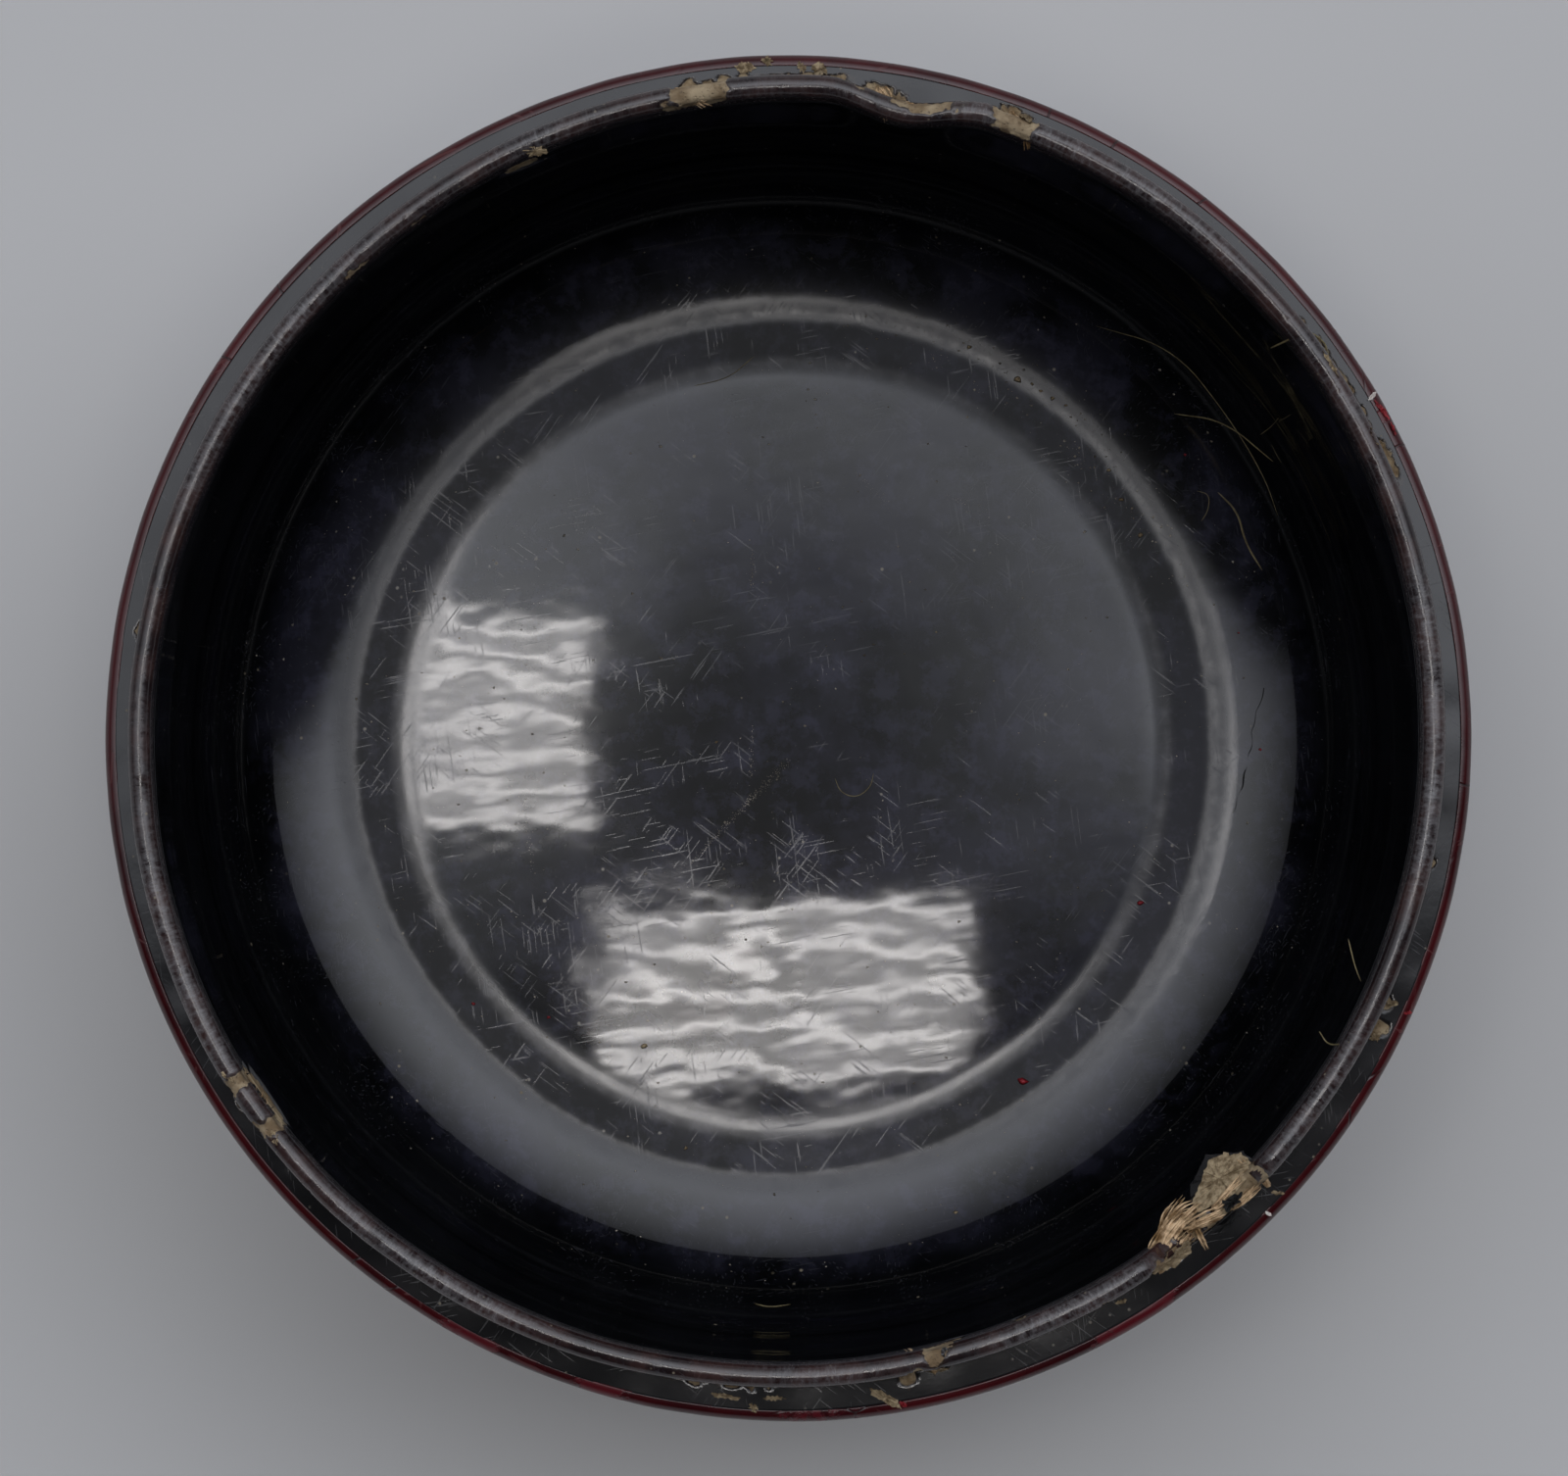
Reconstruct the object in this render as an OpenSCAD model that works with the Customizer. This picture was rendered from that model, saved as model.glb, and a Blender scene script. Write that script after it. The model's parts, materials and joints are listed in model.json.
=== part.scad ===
// Round lacquered wooden bowl for go stones, open at the top, standing on a foot ring.
// The bowl's axis is Z. The foot stands on Z = 0. All sizes are in millimetres.
// From the wood outwards, each face of the wood carries a layer of hemp cloth,
// a layer of ground (clay and raw lacquer) and a layer of finish lacquer.

/* [Body] */
// Diameter of the body, measured over the rolled edge of the ledge
body_d = 140; // [134:1:150]
// Height of the ledge above the foot
ledge_h = 77; // [70:1:84]
// Thickness of the whole wall, with all its layers
wall_t = 5.4; // [5:0.1:6.5]
// Radius of the rounded corner between the wall and the floor, on the inside
corner_r = 16.5; // [13:0.5:17.5]
// Radius of the rolled outer edge of the ledge
edge_r = 1.2; // [1:0.1:1.6]

/* [Lip] */
// Height of the lip above the ledge
lip_h = 5; // [4:0.5:7]
// Thickness of the lip, with all its layers
lip_t = 2.3; // [2:0.1:2.6]
// Thickness of the cloth strip on the outer face of the lip
lip_cloth_t = 0.3; // [0.2:0.1:0.4]
// How deep the lip hoop sits in its rebate, below the wooden top of the shoulder
lip_seat = 6; // [4:0.5:9]

/* [Floor] */
// Height of the raised middle above the groove around it, at its edge
plateau_h = 0.15; // [0.1:0.05:0.3]
// Further rise from the edge of the raised middle to its centre
crown_h = 1.2; // [0.5:0.1:2]
// Width of the rounded edge that falls from the raised middle to the groove
plateau_edge = 2.4; // [2:0.1:4]
// Width of the shallow groove, which rises outwards to a crease at the foot of the corner
groove_w = 4.8; // [3:0.1:6]
// Depth of the groove's bottom, below the level where the corner's arc starts
groove_depth = 0.18; // [0.12:0.02:0.24]
// Depth of the crease, below the same level
crease_depth = 0.08; // [0.04:0.02:0.1]

/* [Foot] */
// Outer diameter of the foot ring
foot_d = 100; // [94:1:102]
// Width of the foot ring, with its layers
foot_w = 5.6; // [4.5:0.1:7]
// Depth of the hollow inside the foot ring
recess_h = 4.5; // [4.2:0.1:6]

/* [Layers] */
// Thickness of the finish lacquer
lacquer_t = 0.3; // [0.2:0.05:0.35]
// Thickness of the ground under it
ground_t = 0.3; // [0.2:0.05:0.35]
// Thickness of the cloth on the wood
cloth_t = 0.4; // [0.3:0.05:0.5]
// Number of bent wooden hoops stacked in the wall, below the shoulder
hoop_count = 6; // [6]
// Width of the glue line in each hoop's scarf joint
glue_t = 0.2; // [0.1:0.05:0.3]

/* [Hidden] */
$fn = 180;

// Depth of each boundary between layers, measured from the finished surface
under_lacquer = lacquer_t;
under_ground = lacquer_t + ground_t;
under_cloth = lacquer_t + ground_t + cloth_t;

// Finished radii of the body and the lip
body_r = body_d / 2;
bore_r = body_r - wall_t;
lip_r = bore_r + lip_t;
lip_mid_r = bore_r + lip_t / 2;
lip_top_r = lip_t / 2;
lip_mid_h = ledge_h + lip_h - lip_top_r;

// The wood's underside, and the centre that the corner's arcs share
board_z = recess_h + under_ground;
wood_t = wall_t - 2 * under_cloth;
corner_x = bore_r - corner_r;
corner_z = board_z + wood_t + under_cloth + corner_r;
floor_z = corner_z - corner_r;

// The crease lies just outside the start of the corner's arc, with the groove inside it.
// A straight strip, crease_run wide, leads from the crease up to the arc
crease_x = corner_x + 0.5;
crease_run = 1.9;
groove_x = crease_x - groove_w;
plateau_r = groove_x - plateau_edge;
crown_slope = 2 * crown_h / plateau_r;

// The rebates: the lip hoop in the shoulder, the board in the lowest hoop
seat_z = ledge_h - under_cloth - lip_seat;
lip_wood_r = lip_r - under_ground - lip_cloth_t;
board_lap = 3.4;
board_step = 2.5;
board_r = corner_x + board_lap;
hoop_h = (seat_z - board_z) / hoop_count;

foot_r = foot_d / 2;
foot_in_r = foot_r - foot_w;
foot_skin_r = foot_r - under_lacquer;

// Angle between the scarf joint and the run of the hoop, and the turn from hoop to hoop
scarf_angle = 30;
scarf_turn = 137;

// How far the slit that makes the scarf joint reaches past the hoop on either side
beyond = 20;

black = "#1b1b1f";
lip_brown = "#2c2226";
red = "#5a0d16";
buff = "#a08a62";
hemp = "#8d7950";
wood = "#b98f5c";

// Points on an arc about (x, z), from one angle to another
function arc(x, z, r, from, to, steps = 12) =
  [for (i = [0:steps]) let (a = from + (to - from) * i / steps) [x + r * cos(a), z + r * sin(a)]];

// The floor from the axis out to the crease, lowered by depth: crown, rounded edge, groove.
// The rounded edge starts at the crown's own slope and ends level
function floor_line(depth) = let (low = floor_z - groove_depth - depth) concat(
  [for (i = [0:6]) let (s = i / 6)
    [plateau_r * s, low + plateau_h + crown_h * (1 - s * s)]],
  [for (i = [1:5]) let (s = i / 5)
    [plateau_r + plateau_edge * s, low + plateau_h * (1 - s * s * (3 - 2 * s))
      - crown_slope * plateau_edge * s * pow(1 - s, 2)]],
  [[crease_x, floor_z - crease_depth - depth]]);

// The inside from the axis to a given height. The floor is modelled in its finish only
function inner_line(depth, top, shaped) = concat(
  shaped ? floor_line(depth) : [[0, floor_z - depth]],
  [for (p = arc(corner_x, corner_z, corner_r + depth, -90, 0))
    if (!shaped || p[0] > crease_x + crease_run) p],
  [[bore_r + depth, top]]);

// The outside from the foot's radius, up the wall, round the rolled edge and in to a given radius
function outer_line(depth, start_r, end_r) = concat(
  [[start_r, corner_z - sqrt(pow(corner_r + wall_t - depth, 2) - pow(max(0, start_r - corner_x), 2))]],
  [for (p = arc(corner_x, corner_z, corner_r + wall_t - depth, -90, 0)) if (p[0] > start_r + 0.5) p],
  arc(body_r - edge_r, ledge_h - edge_r, edge_r - depth, 0, 90, 6),
  [[end_r, ledge_h - depth]]);

function reversed(points) = [for (i = [len(points) - 1:-1:0]) points[i]];

// The lip's section at a depth below its surface, from a given height up, with its round top
module lip_section(depth, from_z) {
  polygon(concat(
    [[bore_r + depth, from_z], [lip_r - depth, from_z]],
    arc(lip_mid_r, lip_mid_h, lip_top_r - depth, 0, 180, 10)));
}

// The cove where the lip meets the ledge, at a depth below the lip's surface
function cove_line(depth) = [
  [lip_r - depth, ledge_h],
  [lip_r - depth + under_lacquer, ledge_h - under_lacquer]];

// A layer on the inside, between two depths
module inner_layer(upper, lower, top, shaped_below) {
  rotate_extrude()
    polygon(concat(
      inner_line(upper, top, true),
      reversed(inner_line(lower, top, shaped_below))));
}

// The section of all the wood between the two cloths
module wood_section() {
  polygon(concat(
    inner_line(under_cloth, seat_z, false),
    [[lip_wood_r, seat_z], [lip_wood_r, ledge_h - under_cloth]],
    reversed(outer_line(under_cloth, foot_skin_r, body_r - edge_r)),
    [[0, board_z]]));
}

// The space that the floor board takes, with the step that rests in the lowest hoop
module board_space(extra) {
  translate([0, board_z - extra]) square([board_r - board_step, wood_t / 2 + extra]);
  translate([0, board_z + wood_t / 2]) square([board_r, wood_t + extra]);
}

// The slanted glue line where a hoop's two ends are lapped
module scarf(mid_r, turn) {
  rotate([0, 0, turn])
    translate([mid_r, 0, -beyond])
      rotate([0, 0, scarf_angle - 90])
        translate([-glue_t / 2, -beyond, 0])
          cube([glue_t, 2 * beyond, body_d]);
}

// One of the bent hoops stacked in the wall, number 1 at the bottom
module wall_hoop(number) {
  mid_r = number == 1 ? (board_r + bore_r) / 2 : bore_r + wall_t / 2;
  color(wood)
    difference() {
      rotate_extrude()
        difference() {
          intersection() {
            wood_section();
            translate([0, board_z + hoop_h * (number - 1)]) square([body_r, hoop_h]);
          }
          board_space(1);
        }
      scarf(mid_r, number * scarf_turn);
    }
}

// The wide hoop under the ledge, rebated on the inside for the lip hoop
module shoulder_hoop() {
  color(wood)
    difference() {
      rotate_extrude()
        intersection() {
          wood_section();
          translate([lip_wood_r, seat_z]) square([body_r, ledge_h - seat_z]);
        }
      scarf(bore_r + wall_t / 2, (hoop_count + 1) * scarf_turn);
    }
}

// The thin bent hoop that stands up as the lip
module lip_hoop() {
  color(wood)
    difference() {
      rotate_extrude()
        intersection() {
          lip_section(under_ground, seat_z);
          square([lip_wood_r, ledge_h + lip_h]);
        }
      scarf(lip_mid_r, (hoop_count + 2) * scarf_turn);
    }
}

// The board of the floor, let into the lowest hoop from above
module floor_board() {
  color(wood)
    rotate_extrude()
      intersection() {
        wood_section();
        board_space(0);
      }
}

// The hoop glued under the board as the foot
module foot_hoop() {
  color(wood)
    difference() {
      rotate_extrude()
        translate([foot_in_r + under_ground, under_ground])
          square([foot_w - 2 * under_ground, board_z - under_ground]);
      scarf(foot_r - foot_w / 2, (hoop_count + 3) * scarf_turn);
    }
}

// Cloth on the inside, from the floor up to the lip hoop
module inner_cloth() {
  color(hemp)
    rotate_extrude()
      polygon(concat(
        inner_line(under_ground, seat_z, false),
        reversed(inner_line(under_cloth, seat_z, false))));
}

// Cloth on the outside, from the foot up the wall and over the ledge to the lip
module outer_cloth() {
  color(hemp)
    rotate_extrude()
      polygon(concat(
        outer_line(under_ground, foot_skin_r, lip_wood_r + lip_cloth_t),
        reversed(outer_line(under_cloth, foot_skin_r, lip_wood_r + lip_cloth_t))));
}

// Strip of cloth over the joint and up the outer face of the lip
module lip_cloth() {
  color(hemp)
    rotate_extrude()
      intersection() {
        lip_section(under_ground, ledge_h - under_cloth);
        translate([lip_wood_r, 0]) square([lip_t, ledge_h + lip_h]);
      }
}

// Ground on the inside, which also builds up the shape of the floor
module inner_ground() {
  color(buff) inner_layer(under_lacquer, under_ground, ledge_h, false);
}

// Ground on the outside and on the ledge
module outer_ground() {
  end_r = lip_wood_r + lip_cloth_t;
  color(buff)
    rotate_extrude()
      polygon(concat(
        outer_line(under_lacquer, foot_skin_r, end_r),
        reversed(outer_line(under_ground, foot_skin_r, end_r))));
}

// Ground round the lip, with a small cove where the lip meets the ledge
module lip_ground() {
  color(buff)
    rotate_extrude()
      difference() {
        union() {
          lip_section(under_lacquer, ledge_h);
          polygon(concat(
            [[lip_mid_r, ledge_h - under_lacquer], [lip_mid_r, ledge_h]],
            cove_line(under_lacquer)));
        }
        lip_section(under_ground, ledge_h - lip_h);
      }
}

// Ground on the foot ring and in the hollow inside it
module foot_ground() {
  color(buff)
    rotate_extrude()
      polygon([
        [0, board_z], [0, board_z - ground_t],
        [foot_in_r + under_lacquer, board_z - ground_t], [foot_in_r + under_lacquer, under_lacquer],
        [foot_skin_r, under_lacquer],
        outer_line(under_ground, foot_skin_r, 0)[0],
        outer_line(under_cloth, foot_skin_r, 0)[0],
        outer_line(under_cloth, foot_r - under_ground, 0)[0],
        [foot_r - under_ground, under_ground],
        [foot_in_r + under_ground, under_ground], [foot_in_r + under_ground, board_z]]);
}

// Black lacquer on the floor and the inner wall
module inner_lacquer() {
  color(black) inner_layer(0, under_lacquer, ledge_h, true);
}

// Brown-black lacquer on the lip. Its outer face is the cylinder that the lid slips over
module lip_lacquer() {
  color(lip_brown)
    rotate_extrude()
      union() {
        difference() {
          lip_section(0, ledge_h);
          lip_section(under_lacquer, ledge_h - lip_h);
        }
        polygon(concat(cove_line(under_lacquer), reversed(cove_line(0))));
      }
}

// Black lacquer on the flat of the ledge, where the lid's rim rests
module ledge_lacquer() {
  color(black)
    rotate_extrude()
      polygon(concat(
        cove_line(0),
        [[body_r - edge_r, ledge_h - lacquer_t], [body_r - edge_r, ledge_h]]));
}

// Red lacquer on the rolled edge, the outer wall and the side of the foot
module outer_lacquer() {
  color(red)
    rotate_extrude()
      polygon(concat(
        [[foot_skin_r, lacquer_t], [foot_r, lacquer_t]],
        outer_line(0, foot_r, body_r - edge_r),
        reversed(outer_line(under_lacquer, foot_skin_r, body_r - edge_r))));
}

// Black lacquer under the foot ring and on its inner side
module foot_lacquer() {
  color(black)
    rotate_extrude()
      polygon([
        [foot_in_r, 0], [foot_r, 0], [foot_r, lacquer_t],
        [foot_in_r + lacquer_t, lacquer_t],
        [foot_in_r + lacquer_t, recess_h], [foot_in_r, recess_h]]);
}

// Black lacquer in the hollow inside the foot ring
module base_lacquer() {
  color(black)
    translate([0, 0, recess_h])
      cylinder(r = foot_in_r + lacquer_t, h = lacquer_t);
}

floor_board();
foot_hoop();
wall_hoop(1);  // wall_hoop_1
wall_hoop(2);  // wall_hoop_2
wall_hoop(3);  // wall_hoop_3
wall_hoop(4);  // wall_hoop_4
wall_hoop(5);  // wall_hoop_5
wall_hoop(6);  // wall_hoop_6
shoulder_hoop();
lip_hoop();
inner_cloth();
outer_cloth();
lip_cloth();
inner_ground();
outer_ground();
lip_ground();
foot_ground();
inner_lacquer();
lip_lacquer();
ledge_lacquer();
outer_lacquer();
foot_lacquer();
base_lacquer();
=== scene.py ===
import json
import math

import bpy
import numpy as np
from mathutils import Matrix, Vector


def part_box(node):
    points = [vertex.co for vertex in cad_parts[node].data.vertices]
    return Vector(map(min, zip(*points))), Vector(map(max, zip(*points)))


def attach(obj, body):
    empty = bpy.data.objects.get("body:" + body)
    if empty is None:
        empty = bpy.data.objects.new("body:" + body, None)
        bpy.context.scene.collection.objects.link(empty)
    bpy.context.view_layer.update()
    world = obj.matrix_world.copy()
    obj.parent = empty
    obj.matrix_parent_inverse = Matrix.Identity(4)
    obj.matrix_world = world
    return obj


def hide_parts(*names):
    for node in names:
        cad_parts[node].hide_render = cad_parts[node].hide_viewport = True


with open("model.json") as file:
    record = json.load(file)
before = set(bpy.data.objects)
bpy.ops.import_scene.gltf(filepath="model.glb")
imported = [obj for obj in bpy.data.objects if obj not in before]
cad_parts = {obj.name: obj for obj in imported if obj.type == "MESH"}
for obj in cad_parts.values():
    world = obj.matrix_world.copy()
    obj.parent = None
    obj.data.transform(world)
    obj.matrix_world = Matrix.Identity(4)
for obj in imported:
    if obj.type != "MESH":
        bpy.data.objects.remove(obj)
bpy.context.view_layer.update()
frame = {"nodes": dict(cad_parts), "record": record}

mm = 0.001
turn = 2 * math.pi


# sizes in millimetres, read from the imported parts
def span(node):  # lowest and highest corner of a part, in millimetres
    low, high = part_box(node)
    return np.array(low) / mm, np.array(high) / mm


lacquer = span("base_lacquer")[1][2] - span("base_lacquer")[0][2]  # thickness of a coat
bodyR = span("outer_lacquer")[1][0]
ledgeZ = span("ledge_lacquer")[1][2]
edgeR = bodyR - span("ledge_lacquer")[1][0]  # radius of the rolled edge
boreR = span("inner_lacquer")[1][0] - lacquer
lipR = span("lip_lacquer")[1][0] - lacquer  # the coat flares out by its own thickness in the cove
lipZ = span("lip_lacquer")[1][2]
lipRound = (lipR - boreR) / 2  # the lip's top is a half circle of this radius
lipMidZ = lipZ - lipRound
ground = span("outer_ground")[1][0] - span("outer_cloth")[1][0]
cloth = span("outer_cloth")[1][0] - span("shoulder_hoop")[1][0]
floorZ = span("inner_cloth")[0][2] + lacquer + ground + cloth
footR = span("foot_lacquer")[1][0]
footInR = span("base_lacquer")[1][0] - lacquer
recessZ = span("base_lacquer")[0][2]
seatZ = span("lip_hoop")[0][2]
wallT = bodyR - boreR

bowlShape = {
    "cornerRadius": 16.5,  # inside, between wall and floor
    # slope of the floor at a radius: crown, rounded edge, groove that rises outwards, crease, corner
    "floorSlopes": [(0, 0.0), (41.5, -0.0581), (43.1, 0.018), (47.7, 0.024), (48.9, 0.160), (50.9, 0.1722)],
}
cornerX = boreR - bowlShape["cornerRadius"]
cornerZ = floorZ + bowlShape["cornerRadius"]


# small mathematics on whole arrays
def ease(low, high, x):  # 0 below low, 1 above high, 3t^2 - 2t^3 between
    t = np.clip((x - low) / (high - low), 0, 1)
    return t * t * (3 - 2 * t)


def bump(centre, half, degrees):  # cosine hump of half width "half" about an angle, 0 outside
    gap = (degrees - centre + 180) % 360 - 180
    return np.where(np.abs(gap) < half, 0.5 + 0.5 * np.cos(np.pi * gap / half), 0.0)


def waves(x, y, z, length, seed, count=24):
    # sum of cosines in random directions, with wave lengths near "length", scaled to about -1..1
    rng = np.random.default_rng(seed)
    way = rng.normal(size=(count, 3))
    way /= np.linalg.norm(way, axis=1)[:, None]
    way *= (turn / (length * rng.uniform(0.7, 1.5, count)))[:, None]
    phase = rng.uniform(0, turn, count)
    total = np.zeros(np.shape(x))
    for (a, b, c), p in zip(way, phase):
        total += np.cos(a * x + b * y + c * z + p)
    return total / math.sqrt(count)


# meshes
def addPiece(name, points, faces, replaced=(), values=None, smooth=True):
    # points (n, 3) in millimetres; faces are arrays of equal-length index rows
    mesh = bpy.data.meshes.new(name)
    faces = [np.asarray(f, np.int32) for f in faces if len(f)]
    loops = np.concatenate([f.ravel() for f in faces])
    sizes = np.concatenate([np.full(len(f), f.shape[1], np.int32) for f in faces])
    used, loops = np.unique(loops, return_inverse=True)
    mesh.vertices.add(len(used))
    mesh.vertices.foreach_set("co", (points[used] * mm).astype(np.float32).ravel())
    mesh.loops.add(len(loops))
    mesh.loops.foreach_set("vertex_index", loops.astype(np.int32).ravel())
    mesh.polygons.add(len(sizes))
    mesh.polygons.foreach_set("loop_start", (np.cumsum(sizes) - sizes).astype(np.int32))
    mesh.update(calc_edges=True)
    mesh.polygons.foreach_set("use_smooth", np.full(len(sizes), smooth))
    for key, value in (values or {}).items():
        layer = mesh.attributes.new(key, "FLOAT", "POINT")
        layer.data.foreach_set("value", np.asarray(value, np.float32).ravel()[used])
    mesh.validate()
    piece = bpy.data.objects.new(name, mesh)
    bpy.context.scene.collection.objects.link(piece)
    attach(piece, "root")
    if replaced:
        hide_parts(*replaced)
    return piece


def turnedPiece(name, profile, columns, replaced=(), warp=None, poles=False, fields=None):
    # each profile point (r, z) goes round the axis as (r cos a, r sin a, z), after warp moves it;
    # the surface's outside is on the left of the profile's run, and the profile is a closed loop,
    # or starts and ends on the axis when poles is set
    profile = np.asarray(profile, float)
    rows = len(profile)
    a = np.broadcast_to(np.linspace(0, turn, columns, endpoint=False), (rows, columns))
    r = np.repeat(profile[:, :1], columns, 1)
    z = np.repeat(profile[:, 1:2], columns, 1)
    values = {}
    if fields:
        values = fields(r, a, z, profile)
    if warp:
        r, z = warp(r, a, z)
    if poles:
        r[0], z[0], r[-1], z[-1] = 0, z[0].mean(), 0, z[-1].mean()
    depth = values.pop("sink", None)
    if depth is not None:  # sink the surface along its own slope, where the finish is lost
        dr, dz = np.gradient(r, axis=0), np.gradient(z, axis=0)
        length = np.hypot(dr, dz) + 1e-9
        r, z = r + depth * dz / length, z - depth * dr / length
    points = np.stack([r * np.cos(a), r * np.sin(a), z], -1).reshape(-1, 3)
    index = np.arange(rows * columns).reshape(rows, columns)
    if poles:
        index[0], index[-1] = index[0, 0], index[-1, 0]
        lower, upper = index[:-1], index[1:]
    else:
        lower, upper = index, np.roll(index, -1, 0)
    quads = np.stack([lower, upper, np.roll(upper, -1, 1), np.roll(lower, -1, 1)], -1)
    if poles:
        first, last, quads = quads[0][:, [0, 1, 2]], quads[-1][:, [0, 1, 3]], quads[1:-1]
    else:
        first, last = (), ()
    return addPiece(name, points, [quads.reshape(-1, 4), first, last], replaced, values)


def line(start, end, count):  # straight run of points, without its last
    s = np.linspace(0, 1, count, endpoint=False)[:, None]
    return np.array(start) * (1 - s) + np.array(end) * s


def arc(x, z, radius, start, end, count):  # points on a circle, degrees, without its last
    t = np.radians(np.linspace(start, end, count, endpoint=False))
    return np.stack([x + radius * np.cos(t), z + radius * np.sin(t)], 1)


def lines(corners, counts):  # straight runs from corner to corner, without the last point
    return np.concatenate([line(p, q, n) for p, q, n in zip(corners, corners[1:], counts)])


# the hand-made shape: how the lip strays from a true circle, and where it is broken
handWork = {
    "lipMiddle": 66,  # radius at which the patterns round the lip are read
    "lipWave": [(1, -0.13, 0.50), (2, 0.13, 0.36), (3, -0.05, -0.17)],  # order, cosine, sine
    "lipUneven": 0.05,
    "followDepth": 22,  # the wall follows the lip's shift from this far below the ledge
    "chipDepth": 24,  # chips reach this far below the ledge
    "sagAngle": 79.5,
    "sagHalf": 7.5,
    "sagIn": 1.7,
    "sagDown": 0.16,
    "breakAngle": 311.0,
    "breakHalf": 8.0,
    "breakDown": 0.62,
    "ledgeSlope": math.tan(math.radians(5.0)),
    "bodyWave": 0.07,
}


def lipPlaces(a):  # x, y and z of places round the middle of the lip
    return handWork["lipMiddle"] * np.cos(a), handWork["lipMiddle"] * np.sin(a), 0 * a


def lipShift(a):  # millimetres outwards: three slow waves, less the sagging stretch
    shift = sum(c * np.cos(n * a) + s * np.sin(n * a) for n, c, s in handWork["lipWave"])
    shift = shift - handWork["sagIn"] * bump(handWork["sagAngle"], handWork["sagHalf"], np.degrees(a))
    return shift + handWork["lipUneven"] * waves(*lipPlaces(a), 14, 5)


def lipDrop(a):  # share of the lip's height that is lost
    degrees, places = np.degrees(a), lipPlaces(a)
    ragged = 0.5 + 0.5 * waves(*places, 1.6, 8)
    lost = np.clip(bump(handWork["breakAngle"], handWork["breakHalf"], degrees) * 2.2, 0, 1)
    sag = handWork["sagDown"] * bump(handWork["sagAngle"], handWork["sagHalf"], degrees)
    uneven = 0.03 * np.maximum(waves(*places, 9, 3), 0)
    return lost * (handWork["breakDown"] + 0.2 * (ragged - 0.5)) + sag + uneven


def followLip(z):  # share of the lip's shift that is reached at a height
    return ease(ledgeZ - handWork["followDepth"], ledgeZ, z)


def warpLip(r, a, z):  # lip pieces: the whole section moves as the wall does
    above = np.maximum(z - ledgeZ, 0)
    return r + lipShift(a) * followLip(z), np.minimum(z, ledgeZ) + above * (1 - lipDrop(a))


def warpWall(r, a, z):  # inner layers: full shift at the finish, none at the wood
    share = np.clip(1 - (r - boreR) / (lacquer + ground + cloth), 0, 1)
    high = followLip(z) * (r > cornerX)
    x, y = r * np.cos(a), r * np.sin(a)
    bottom = (r < cornerX + 12) * (z < floorZ + 6)
    uneven = 0.010 * waves(x, y, 0 * x, 13, 21) + 0.0012 * waves(x, y, 0 * x, 4.2, 22)
    rounds = 0.015 * waves(0 * x, 0 * x, z, 9, 23) + 0.03 * waves(x, y, z, 24, 24)
    ridge = ease(cornerX - 8, cornerX - 6, r) * (1 - ease(cornerX + 1, cornerX + 6, r))
    r = r + share * (lipShift(a) * high + rounds * ease(cornerX + 6, boreR, r) * (1 - high))
    r = r + share * ridge * bottom * 0.3 * waves(x, y, 0 * x, 60, 25)
    return r, z + share * uneven * (1 - ease(cornerX, cornerX + 12, r)) * bottom


def warpLedge(r, a, z):  # the ledge's inner edge follows the lip, and the flat falls outwards
    flat = ledgeZ - z < lacquer * 1.5
    share = np.clip(1 - (r - lipR) / (bodyR - edgeR - lipR), 0, 1)
    shift = np.clip(lipShift(a), -1.6, 0.9)
    x, y = r * np.cos(a), r * np.sin(a)
    uneven = 0.02 * waves(x, y, 0 * x, 7, 31)
    return r + shift * share * flat, z - (r - lipR) * handWork["ledgeSlope"] + uneven


def warpBody(r, a, z):  # outer finish: a slow wobble, and the outer edge falls with the ledge
    x, y = r * np.cos(a), r * np.sin(a)
    wobble = handWork["bodyWave"] * waves(x, y, z * 0.6, 55, 41) + 0.02 * waves(x, y, z, 8, 42)
    wobble = np.clip(wobble, -0.06, 0.06) - 0.06
    fall = (bodyR - edgeR - lipR) * handWork["ledgeSlope"] * ease(ledgeZ - 3, ledgeZ - 0.5, z)
    return r + wobble * (z > recessZ) * ease(recessZ, recessZ + 4, z), z - fall


# damage: chips given by angle and by the way t over the lip, in millimetres
# t is 0 on the crest, grows outwards down the lip and along the ledge, and falls down the inner wall
crestHalf = lipRound * math.pi / 2
lipFoot = crestHalf + lipMidZ - ledgeZ  # t at the joint between lip and ledge

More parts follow.
